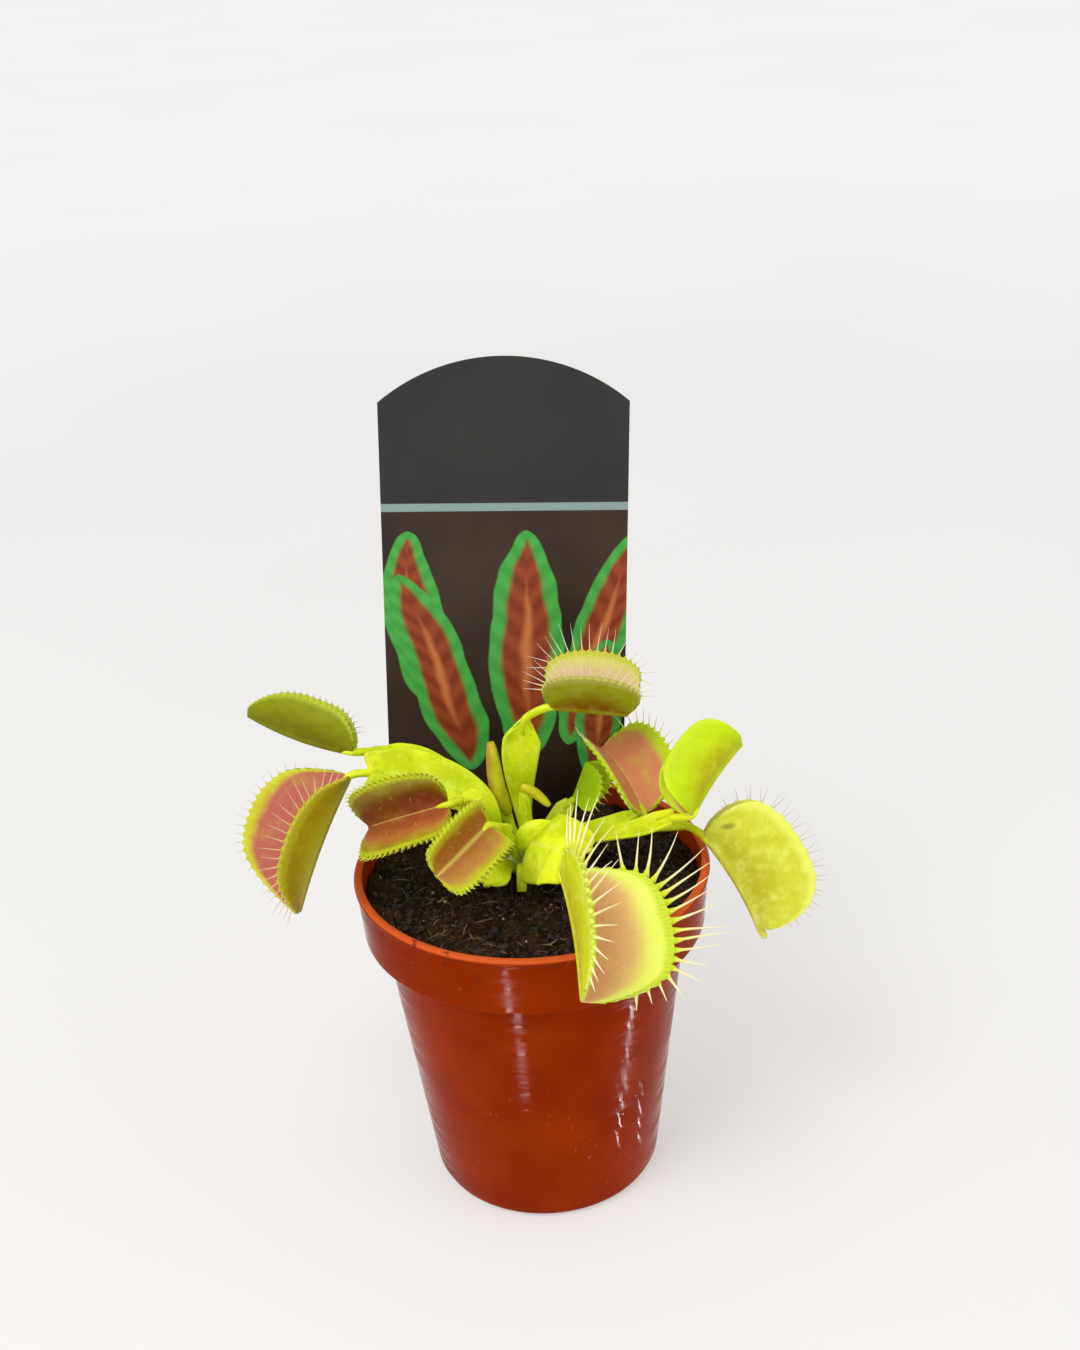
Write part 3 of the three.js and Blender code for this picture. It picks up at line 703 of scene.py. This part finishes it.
def plate(columns, rows, middle, thickness, spread):
    """A closed plate. middle(u, v) is its middle and thickness(u, v) is laid half on each side; u goes
    from 0 to 1 in columns and v from -1 to 1 in rows, which spread(w) packs closer at the rims."""
    bm = bmesh.new()
    bmesh.ops.create_grid(bm, x_segments=columns, y_segments=rows, size=0.5)
    bmesh.ops.solidify(bm, geom=bm.faces[:], thickness=0.01)
    along, across, inside = marked(bm)
    known = {}
    for vert in bm.verts:
        u, w = vert.co.x + 0.5, 2 * vert.co.y
        key = round(u, 5), round(w, 5)
        if key not in known:
            v = copysign(spread(abs(w)), w)
            ahead = middle(u + 0.004, v) - middle(u - 0.004, v)
            aside = middle(u, v + 0.004) - middle(u, v - 0.004)
            known[key] = u, v, middle(u, v), ahead.cross(aside).normalized() * thickness(u, v) / 2
        u, v, centre, half = known[key]
        top = abs(vert.co.z) > 0.005
        vert[along], vert[across], vert[inside] = u, v, float(top)
        vert.co = (centre + half if top else centre - half) * MM
    return bm


def rounded(distance, radius=0.45):
    """What is left of a plate's thickness at this distance from its edge."""
    t = min(max(distance / radius, 0), 1)
    return THIN_EDGE + (1 - THIN_EDGE) * sqrt(1 - (1 - t) ** 2)


def stalk_blade(leaf):
    """The flat winged stalk of a leaf, lobed at its tip and with a ridge along its vein."""
    curve = route(leaf["stalk"])
    faces = Vector(leaf["faces"])
    width, fold = leaf["width"], leaf.get("fold", FOLD)
    length = sum((curve((k + 1) / 20) - curve(k / 20)).length for k in range(20))

    def middle(u, v):
        share = min(max(u, 0), 1)
        ahead = (curve(share + 0.004) - curve(share - 0.004)).normalized()
        centre = curve(share) + ahead * (u - share) * length
        up = (faces - ahead * faces.dot(ahead)).normalized()
        side = ahead.cross(up)
        grown = ease(0.05, leaf.get("swell", SWELL), u)
        spent = ease(0.8, 1, u)
        wide = blend(min(3, width), width, grown) * blend(1, leaf["apex"], spent)
        wave = 0.03 * width * v * v * sin(11 * u + 2.5 * v + width) * grown
        lobed = 0.2 * width * (v * v - 0.9 * abs(v) ** 7) * spent
        ridge = 0.12 * exp(-((v / 0.16) ** 2)) * (1 - 0.6 * spent)
        return (
            centre + side * v * wide / 2
            + up * (fold * wide * v * v + wave - ridge)
            + ahead * lobed
        )

    def thickness(u, v):
        edge = (1 - abs(v)) * width / 2
        end = min(u, 1 - u) * length
        flesh = blend(RIB_THICKNESS, BLADE_THICKNESS, min(1, 1.2 * abs(v)))
        return flesh * rounded(edge) * rounded(end, 0.6)

    return plate(*STALK_GRID, middle, thickness, lambda w: w - 0.08 * sin(2 * pi * w))


class Trap:
    """The shape of one trap. u runs along the midrib from the neck, and v from one rim to the other.
    The midrib goes from start to end and curves by bend. opens is the way the mouth looks, lobe a lobe's
    height in its middle, ends the share of it at the ends and gape its angle at the fold and the rim. fan
    is how far the ends lean apart, and rounds how much of the length each end takes to come round. Each
    rim has as many bristles as teeth, and beads says how bold its beads are."""

    def __init__(self, start, end, opens, lobe, ends, gape, bend, fan, teeth, beads=1.0,
                 rounds=(END_ROUND, END_ROUND)):
        self.start = Vector(start)
        self.x = (Vector(end) - self.start).normalized()
        self.z = (Vector(opens) - self.x * Vector(opens).dot(self.x)).normalized()
        self.y = self.z.cross(self.x)
        self.length = (Vector(end) - self.start).length
        self.lobe, self.ends, self.teeth, self.beads = lobe, ends, teeth, beads
        self.first = radians(gape[0])
        self.turn = radians(gape[1] - gape[0])
        self.half = radians(bend) / 2 or 1e-4
        self.fan = radians(fan)
        self.rounds = rounds

    def midrib(self, u):
        radius = self.length / 2 / sin(self.half)
        angle = (2 * u - 1) * self.half
        return (
            self.start + self.x * (self.length / 2 + radius * sin(angle))
            + self.z * radius * (cos(angle) - cos(self.half))
        )

    def share(self, u):
        """How much of the lobe's full height it has at u: it comes down round at both ends."""
        end = min(1, abs(2 * u - 1))
        corner = max(0, 1 - (1 - end) / 2 / self.rounds[u > 0.5])
        tip = blend(END_SHARE, 1, sqrt(1 - corner * corner))
        return tip * blend(self.ends, 1, (1 - end**2.4) ** 0.6)

    def section(self, reach):
        """How far out and across a lobe has come, reach millimetres along it from the midrib."""
        bottom = FOLD_RADIUS * (pi / 2 - self.first)
        if reach < bottom:
            turn = reach / FOLD_RADIUS
            return FOLD_RADIUS * (1 - cos(turn)), FOLD_RADIUS * sin(turn)
        angle = self.first + self.turn * (reach - bottom) / self.lobe
        out = self.lobe * (sin(angle) - sin(self.first)) / self.turn
        across = self.lobe * (cos(self.first) - cos(angle)) / self.turn
        return (
            out + FOLD_RADIUS * (1 - sin(self.first)),
            across + FOLD_RADIUS * cos(self.first),
        )

    def tooth(self, u, side):
        """Which bristle stands at u on this side's rim: whole numbers are the middles of bristles."""
        turn = acos(min(max(1 - 2 * u, -1), 1)) / pi
        return (turn - FRINGE_FIRST) / (FRINGE_LAST - FRINGE_FIRST) * self.teeth - 0.5 - 0.25 * side

    def place_of(self, tooth, side):
        """Where along the midrib a bristle stands, and which share of the fringe comes before it."""
        share = (tooth + 0.5 + 0.25 * side) / self.teeth
        return 0.5 - 0.5 * cos(pi * blend(FRINGE_FIRST, FRINGE_LAST, share)), share

    def middle(self, u, v):
        side = 1 if v >= 0 else -1
        beads = (0.5 * cos(2 * pi * self.tooth(u, side))) * self.beads
        band = ease(RIM_BAND, 1, abs(v))
        reach = max(0, abs(v) * self.share(u) * self.lobe + (beads - 0.1) * BEAD_REACH * band)
        out, across = self.section(reach)
        across += BEAD_SWAY * band * beads + LOBE_RIPPLE * sin(7 * u + 2 * side) * abs(v) ** 3
        fan = self.fan * (u - 0.5)
        return (
            self.midrib(u) + self.x * out * sin(fan) + self.z * out * cos(fan)
            + self.y * side * across
        )

    def thickness(self, u, v):
        side = 1 if v >= 0 else -1
        edge = (1 - abs(v)) * self.share(u) * self.lobe
        end = min(u, 1 - u) * self.length
        rib = (MIDRIB_THICKNESS - LOBE_THICKNESS) * exp(-((v * self.lobe / 1.1) ** 2))
        beads = 0.5 + 0.5 * cos(2 * pi * self.tooth(u, side))
        roll = BEAD_ROLL * self.beads * beads * ease(RIM_BAND + 0.02, 0.96, abs(v))
        return (LOBE_THICKNESS + rib + roll) * rounded(edge) * rounded(end, 0.6)

    def outward(self, u, side):
        """The rim's place at u, the way on from it, and the way along it."""
        root = self.middle(u, side)
        along = (self.middle(u + 0.01, side) - self.middle(u - 0.01, side)).normalized()
        way = root - self.middle(u, 0.82 * side)
        way = (way - along * way.dot(along)).normalized()
        return root, way, along


def bristle(root, way, aside, length, radius, sunk=0.5):
    """One stiff bristle: a tapering, slightly bowed spine on a broad foot."""
    start = root - way * sunk

    def path(t):
        return start + way * (length + sunk) * t + aside * length * t * t

    return rod(path, lambda t: radius * (1.25 - 1.1 * t**0.7 + 0.9 * max(0, 0.16 - t) / 0.16), 6, 5)


def leaf_piece(name, leaf, skins):
    """One whole leaf: blade, neck, lobes or finger, bristles and trigger hairs."""
    bm = bmesh.new()
    marked(bm)
    join(bm, stalk_blade(leaf), 0)
    points = leaf["stalk"]
    finger = leaf.get("finger")
    if finger:
        width = leaf["finger_radius"]

        def shape(t):
            return width * sin(pi * blend(0.04, 0.97, t)) ** 0.38

        join(bm, rod(route(finger), shape, 30, 20), 1)
    if "trap" in leaf:
        trap = Trap(**leaf["trap"])
        inner = Vector(points[-2]).lerp(Vector(points[-1]), 0.6)
        ribs = [trap.midrib(u) for u in (0, 0.12, 0.24)]
        path = route([inner, points[-1], *ribs])
        join(bm, rod(path, lambda t: NECK_RADIUS * (1 - 0.35 * ease(0.6, 1, t)), 26, 14), 0)
        join(bm, plate(*TRAP_GRID, trap.middle, trap.thickness, lambda w: w - 0.11 * sin(2 * pi * w)), 1)
        if leaf.get("peg"):
            peg = route([trap.midrib(0.94), trap.midrib(1), trap.midrib(1) + trap.x * PEG_LENGTH])
            join(bm, rod(peg, lambda t: PEG_RADIUS * (1.05 - max(0, 4 * t - 3) ** 4), 12, 12), 1)
        dice = random.Random(len(name) * 7 + trap.teeth)
        for side in (-1, 1):
            for k in range(trap.teeth):
                u, share = trap.place_of(k, side)
                root, way, along = trap.outward(u, side)
                way = (way - trap.y * side * 0.3 + along * dice.uniform(-0.1, 0.1)).normalized()
                start, top, end = leaf["fringe"]
                length = blend(blend(start, top, ease(0, 0.3, share)), end, ease(0.5, 1, share))
                length *= dice.uniform(0.8, 1.08) * leaf.get("comb", (1, 1))[side > 0]
                aside = -trap.y * side * dice.uniform(0.0, 0.16) + along * dice.uniform(-0.08, 0.08)
                thin = leaf["thin"][side > 0] * dice.uniform(0.85, 1.1)
                join(bm, bristle(root, way, aside, length, thin), 3 if side > 0 else 2)
            for u, v in TRIGGER_HAIRS:
                root = trap.middle(u, v * side)
                ahead = trap.middle(u + 0.01, v * side) - root
                aside = trap.middle(u, (v + 0.01) * side) - root
                way = ahead.cross(aside).normalized() * side
                join(bm, bristle(root, way, along * 0.1, HAIR_LENGTH, HAIR_RADIUS, 0.1), 3)
    piece(name + "_skin", bm, skins, name)


def stalk_skin(paint):
    along, across = paint.mark("along"), paint.mark("across")
    width = abs(across)
    cloud = paint.noise(110, 3)
    patch = paint.noise(300, 3, 0.6)
    fine = paint.noise(1700, 3, 0.6)
    veins = (along * 7 - width * 2.2 + paint.noise(90, 2) * 2.4).wave(1) * 0.5 + 0.5
    colour = cloud.step(0.35, 0.65).mix("c0d208", "e4f022")
    colour = (patch.step(0.5, 0.68) * 0.5).mix(colour, "e6f258")
    colour = (patch.step(0.32, 0.45, 1, 0) * 0.4).mix(colour, "acb404")
    colour = (width.step(0.0, 0.14, 1, 0) * 0.35).mix(colour, "e4f264")
    colour = (veins.step(0.8, 1) * 0.10).mix(colour, "a8bc08")
    colour = (width.step(0.8, 1) * 0.3).mix(colour, "dcee3c")
    colour = (along.step(0.0, 0.4, 1, 0) * 0.6).mix(colour, "b4c010")
    colour = (along.step(0.93, 1.0) * 0.25).mix(colour, "b9a02a")
    height = fine * 0.2 + veins * 0.06 + cloud * 1.4 + patch * 0.5
    return colour, fine.step(0.2, 0.8, 0.38, 0.5), height, 0.0004


def spine_skin(name, foot, tip):
    """The finish of a fringe of bristles, from their feet to their tips."""

    def pattern(paint):
        along = paint.mark("along")
        fine = paint.noise(1200, 2)
        colour = along.step(0.02, 0.4).mix(foot, tip)
        colour = (fine.step(0.4, 0.8) * 0.3).mix(colour, foot)
        return colour, fine.step(0, 1, 0.4, 0.55), fine, 0.0001

    return finish(name, FLESH, pattern)


def lobe_skin(name, left, right=None, outer="b4cc14", glow="b4c010", margin="c3dc1e", edge=0.8,
              flush=0.94, deep=None, rim=None, vein=0.07, soft=0.14, mottle=0.25, stain=None):
    """The finish of one trap. Its outer face goes from outer at the fold to glow, patchy by mottle. Its
    inner face is flushed left on one lobe and right on the other, or the same on both, as far as edge
    towards the rim. The flush fades over soft and turns to deep at the midrib, which is pale as wide as
    vein. rim is the colour of the outermost band, where it differs from margin. A stain is a brown spot
    (u, v, size, strength) on the outer face."""

    def pattern(paint):
        along, across = paint.mark("along"), paint.mark("across")
        rise = abs(across)
        within = paint.mark("inside").step(0.45, 0.55)
        cloud = paint.noise(140, 3, 0.55)
        patch = paint.noise(380, 3, 0.6)
        fine = paint.noise(1500, 3, 0.6)
        glands = paint.cells(2300).step(0.1, 0.45, 1, 0)
        sway = (paint.noise(200, 3) - 0.5) * 0.14
        side = across.step(-0.02, 0.02)
        ends = abs(along * 2 - 1)
        zone = (rise + sway + ends ** 8 * 0.2).step(edge - soft, edge + 0.04, 1, 0)
        flesh = side.mix(left, right or left)
        if deep:
            flesh = ((rise + sway).step(0.1, 0.75, 1, 0) * 0.8).mix(flesh, deep)
        flesh = (cloud.step(0.5, 0.7) * 0.22).mix(flesh, margin)
        flesh = (patch.step(0.45, 0.7) * 0.1).mix(flesh, "e0a468")
        flesh = (glands * 0.12).mix(flesh, "8a2a18")
        green = (cloud.step(0.3, 0.7) * 0.3).mix(margin, "d8ec34")
        if rim:
            stripes = (along * 40 + patch * 2).wave(1) * 0.5 + 0.5
            outermost = (rise + sway * 0.6).step(0.84, 0.93) * (stripes * 0.25 + 0.65)
            green = outermost.mix(green, rim)
        face = (zone * flush).mix(green, flesh)
        face = ((rise + sway * 0.2).step(vein * 0.3, vein, 1, 0) * 0.8).mix(face, "d6c45c")
        skin = (rise + sway + ends * ends * 0.35).step(0.15, 0.8, 1, 0).mix(outer, glow)
        skin = (rise.step(0.06, 0.16, 1, 0) * 0.6).mix(skin, outer)
        skin = (patch.step(0.42, 0.72) * mottle).mix(skin, margin)
        skin = (cloud.step(0.55, 0.75) * mottle).mix(skin, glow)
        skin = (patch.step(0.3, 0.45, 1, 0) * 0.25).mix(skin, glow)
        skin = ((rise + sway * 0.3).step(RIM_BAND - 0.06, 0.95) * 0.75).mix(skin, margin)
        if stain:
            u, v, size, strength = stain
            off_u, off_v = (along - u) * 1.6, across - v
            off = paint.math("SQRT", off_u * off_u + off_v * off_v) + sway * 0.5
            skin = (off.step(0.3 * size, size, 1, 0) * strength).mix(skin, "5c3a0c")
        colour = within.mix(skin, face)
        height = fine * 0.2 + glands * 0.15 * within + patch * 0.6 + cloud * 0.9
        return colour, fine.step(0.2, 0.8, 0.38, 0.52), height, 0.0003

    return finish(name, FLESH, pattern)


SPINES = {
    "cream": spine_skin("spine_cream", "d8e03c", "efe3b4"),
    "rose": spine_skin("spine_rose", "cdbb4a", "dfb79a"),
    "grey": spine_skin("spine_grey", "c6cc7a", "b9ae9c"),
    "pale": spine_skin("spine_pale", "d6d478", "e0d8c8"),
    "green": spine_skin("spine_green", "bcd420", "d8dc5a"),
}
# One row for each leaf, in millimetres and degrees. stalk is its course from the crown, faces the way
# its upper side looks, apex the share of its width left at its tip, swell where it has come to its full
# width and fold how far its edges bend up. trap holds the values of its Trap, and skin those of its
# lobe_skin. fringe is the bristles' length at the neck, in the middle and at the tip. comb shortens
# them, thin is their radius and spines their finish, for the left and the right lobe. peg is a small
# tail at the trap's tip, and finger the course of a young trap that is still shut.
LEAVES = dict(
    leaf_left_upper=dict(
        stalk=[(-5.8, 8.4, 79.1), (-12.6, 11.5, 91), (-23, 11.5, 100.5), (-33, 6.5, 106.2)],
        faces=(-0.3, -0.5, 0.8), width=6, apex=0.4,
        trap=dict(
            start=(-37.3, 2.2, 108.6), end=(-60.1, 7.9, 116.8), opens=(0.37, 0.37, 0.85),
            lobe=10.3, ends=0.48, gape=(40, -30), bend=-22, fan=6, rounds=(0.3, 0.48), teeth=20, beads=0.8,
        ),
        fringe=(2.6, 0.9, 0.05), thin=(0.11, 0.11), spines=("grey", "grey"),
        # Its outer face, the trap's underside, is painted dark olive: partly its own colour, partly painted
        # shade.
        skin=dict(outer="7e8602", glow="6c6c00", left="c07a50", margin="b4c034", mottle=0.08),
    ),
    leaf_left_outer=dict(
        stalk=[(-6, 5.5, 79.2), (-10.4, 4.6, 92.5), (-22, 2.4, 100.4), (-34.3, -0.8, 104.8)],
        faces=(-0.25, -0.55, 0.8), width=13, apex=0.72, fold=0.12,
        trap=dict(
            start=(-38.3, -2.1, 105), end=(-51.1, -15.2, 79.4), opens=(-0.91, -0.32, 0.25),
            lobe=19.9, ends=0.3, gape=(67, 31), bend=14, fan=11, rounds=(0.17, 0.3), teeth=21,
        ),
        fringe=(3, 6, 4), comb=(0.4, 1), thin=(0.09, 0.17), spines=("grey", "rose"),
        skin=dict(outer="a28c0c", glow="ccc61a", left="b05a50", margin="c0bc28", edge=0.91, soft=0.12,
                  flush=0.97, stain=(0.95, 0.5, 0.12, 0.8)),
    ),
    leaf_left_gaping=dict(
        stalk=[(-5.9, 3.6, 79.2), (-9.2, 0.1, 89.3), (-11.8, -4.6, 97.4), (-14.4, -8.8, 100.8)],
        faces=(-0.4, -0.6, 0.6), width=7, apex=0.5,
        trap=dict(
            start=(-16.8, -12.4, 102.3), end=(-34.6, -8.6, 95.7), opens=(-0.16, -0.82, 0.55),
            lobe=11.1, ends=0.58, gape=(44, 37), bend=20, fan=52, teeth=21,
        ),
        fringe=(1.4, 1.8, 1.0), thin=(0.24, 0.24), spines=("green", "green"),
        # The left lobe's inside is painted dark brown: partly its own colour, partly painted shade, as it
        # faces down, away from the lamps.
        skin=dict(left="6a3402", right="bc6c38", margin="94780a",
                  rim="b4c01c", edge=0.9, soft=0.45, flush=0.97, deep="8a3c20", vein=0.06),
    ),
    leaf_front_left=dict(
        stalk=[(-3.2, 1.3, 80), (-4.7, -3, 88.3), (-7, -9, 94.2)],
        faces=(-0.3, -0.5, 0.7), width=4, apex=0.5,
        trap=dict(
            start=(-9.1, -12.7, 96.7), end=(-19.5, -30.8, 96), opens=(0.44, -0.68, 0.58),
            lobe=7.8, ends=0.66, gape=(59, 51), bend=2, fan=90, rounds=(0.17, 0.1), teeth=19,
        ),
        fringe=(0.5, 0.6, 0.4), thin=(0.22, 0.22), spines=("green", "green"),
        skin=dict(left="9a560c", right="b88440", margin="b4a420",
                  rim="bccc20", edge=0.88, soft=0.3, flush=0.97, deep="a4602c", vein=0.16),
    ),
    leaf_front_right=dict(
        stalk=[(0.2, 1.2, 79.3), (0.2, -3.2, 85.2), (1.6, -8.8, 88.8), (5.4, -15, 91), (8.2, -21, 91.8)],
        faces=(0.02, -0.75, 0.6), width=16.5, swell=0.45, apex=0.66, fold=-0.12,
        trap=dict(
            start=(6.1, -29.6, 94.3), end=(8.6, -53, 78.6), opens=(0.78, -0.36, 0.51),
            lobe=19.9, ends=0.46, gape=(46, 39), bend=19, fan=22, rounds=(0.17, 0.22), teeth=18,
        ),
        fringe=(11, 12, 3), thin=(0.34, 0.38), spines=("cream", "cream"),
        skin=dict(outer="ccd80e", glow="bcb410", left="eaba76", margin="e4ee6c", rim="b8d010", edge=0.74,
                  soft=0.22, deep="d4906a", vein=0.03, mottle=0.4),
    ),
    leaf_top=dict(
        stalk=[(-0.6, 10.8, 79.4), (-1.4, 10.2, 90.5), (-1, 8, 102.8), (0.6, 5.6, 112.5)],
        faces=(0, -0.9, 0.4), width=8.4, apex=0.2,
        trap=dict(
            start=(6.3, 3.5, 116.1), end=(23, 1.7, 114.2), opens=(0, 0.12, 0.99),
            lobe=14.4, ends=0.45, gape=(43, 36), bend=0, fan=62, rounds=(0.11, 0.11), teeth=19,
        ),
        fringe=(4.5, 6, 4.5), thin=(0.15, 0.13), spines=("pale", "pale"),
        skin=dict(outer="98a008", glow="885006", left="d0ac8c", margin="c2bc64", rim="b4b828", edge=0.86,
                  soft=0.25, flush=0.85),
    ),
    leaf_right_inner=dict(
        stalk=[(3.7, 8.8, 79.2), (11, 10.3, 80.4), (19.1, 10.8, 81.9), (25.2, 9.5, 84.7)],
        faces=(0, -0.4, 0.9), width=3.8, apex=0.5,
        trap=dict(
            start=(25.7, 3.3, 88), end=(17.4, 18.2, 97.4), opens=(0.38, -0.74, 0.56),
            lobe=12.6, ends=0.31, gape=(43, 35), bend=52, fan=36, teeth=16,
        ),
        fringe=(1, 3, 4.5), thin=(0.16, 0.16), spines=("cream", "cream"),
        skin=dict(left="da8866", edge=0.84, flush=0.95),
    ),
    leaf_right_raised=dict(
        stalk=[(3.9, 3, 79.3), (13.4, -1.9, 85.5), (23.5, -6.1, 89.8), (31, -8.4, 93.3)],
        faces=(0.05, -0.2, 1), width=6.4, apex=0.8, fold=0.1,
        trap=dict(
            start=(35, -10.7, 95), end=(47.1, -1.2, 107.1), opens=(-0.79, 0.35, 0.51),
            lobe=13.7, ends=0.45, gape=(75, -42), bend=16, fan=51, rounds=(0.38, 0.28), teeth=14, beads=0.1,
        ),
        fringe=(0.2, 0.3, 0.2), thin=(0.1, 0.1), spines=("green", "green"),
        skin=dict(outer="b6d004", glow="b4ae0a", mottle=0.45, left="cf8466", margin="c4de20"),
    ),
    leaf_right_outer=dict(
        stalk=[(4.8, 5.4, 78.7), (15, 4, 81.8), (26, 2, 85), (34.6, -1.6, 87.2)],
        faces=(0, -0.1, 1), width=3.8, apex=0.6,
        trap=dict(
            start=(38, -4.6, 86.4), end=(49.6, -13, 66.5), opens=(0.89, 0.22, 0.39),
            lobe=17.6, ends=0.38, gape=(24, -17), bend=19, fan=63, rounds=(0.24, 0.34), teeth=15, beads=0.4,
        ),
        fringe=(2, 5, 3), thin=(0.1, 0.1), spines=("grey", "grey"),
        skin=dict(outer="cace38", glow="b4b022", left="cf8466", margin="e4ea6c", mottle=0.5,
                  stain=(0.13, -0.5, 0.1, 0.55)),
        peg=True,
    ),
    leaf_young_right=dict(
        stalk=[(1.9, 10.6, 79.4), (6.2, 13.8, 82), (9.6, 16.2, 84.8)],
        faces=(0, -0.9, 0.4), width=4.6, apex=0.6,
        trap=dict(
            start=(11.1, 16.7, 85.6), end=(14.5, 16.9, 94.7), opens=(0.94, -0.34, 0.1),
            lobe=7.5, ends=0.45, gape=(44, 16), bend=0, fan=40, teeth=9,
        ),
        fringe=(1, 1.3, 0.8), thin=(0.14, 0.14), spines=("green", "green"),
        skin=dict(outer="a4c80a", glow="96b808", left="a8c020"),
    ),
    leaf_young_upright=dict(
        stalk=[(-3.5, 9.9, 79.2), (-4.5, 9.3, 84.5), (-5.4, 9, 89)],
        faces=(0.2, -0.9, 0.2), width=2.4, apex=0.8, fold=0.1,
        finger=[(-4.6, 9, 87), (-6.6, 8.6, 94), (-7.5, 8.6, 105.6)], finger_radius=1.9,
    ),
    leaf_bud=dict(
        stalk=[(0.2, 4.6, 80), (-0.5, 4.6, 88), (-0.8, 4.5, 94.5)],
        faces=(0, -1, 0.2), width=2.6, apex=0.8, fold=0.1,
        finger=[(-1.3, 4.5, 96.4), (1.6, 3.8, 94.9), (4.8, 2.6, 92)], finger_radius=1.15,
    ),
    leaf_lower=dict(
        stalk=[(-3.9, 0.9, 77.9), (-6.6, -4.8, 81.6), (-8.8, -9.6, 83.2), (-10.7, -13, 82.8)],
        faces=(0.1, -0.6, 0.8), width=9, apex=0.15, fold=0.1,
    ),
    leaf_stub=dict(
        stalk=[
            (-1.7, 0.5, 77.9), (-2.3, -4, 80.6), (-2.3, -7.4, 81.6), (-2.4, -9, 79.8), (-2.5, -9.3, 77.7),
        ],
        faces=(0, -0.7, 0.7), width=2.2, apex=0.9, fold=0,
    ),
)


def young_skin(paint):
    """The finish of a shut young trap: green, with one side and the tip flushed brown-pink."""
    along, place = paint.mark("along"), paint.place()
    cloud = paint.noise(240, 3)
    fine = paint.noise(1500, 3)
    flank = (place.part(0) + (cloud - 0.5) * 0.001).step(-0.0085, -0.0065, 1, 0)
    colour = cloud.step(0.3, 0.7).mix("b8b414", "d0cc2c")
    colour = (flank * 0.75).mix(colour, "b87c3c")
    colour = (along.step(0.0, 0.12, 1, 0) * 0.3).mix(colour, "c4904a")
    return colour, fine.step(0.2, 0.8, 0.4, 0.52), fine * 0.3 + cloud, 0.0002


blade_finish = finish("stalk_skin", FLESH, stalk_skin)
young_finish = finish("young_skin", FLESH, young_skin)
for name, leaf in LEAVES.items():
    own = lobe_skin(name + "_lobes", **leaf["skin"]) if "skin" in leaf else young_finish
    leaf_piece(name, leaf, [blade_finish, own, *(SPINES[kind] for kind in leaf.get("spines", ()))])
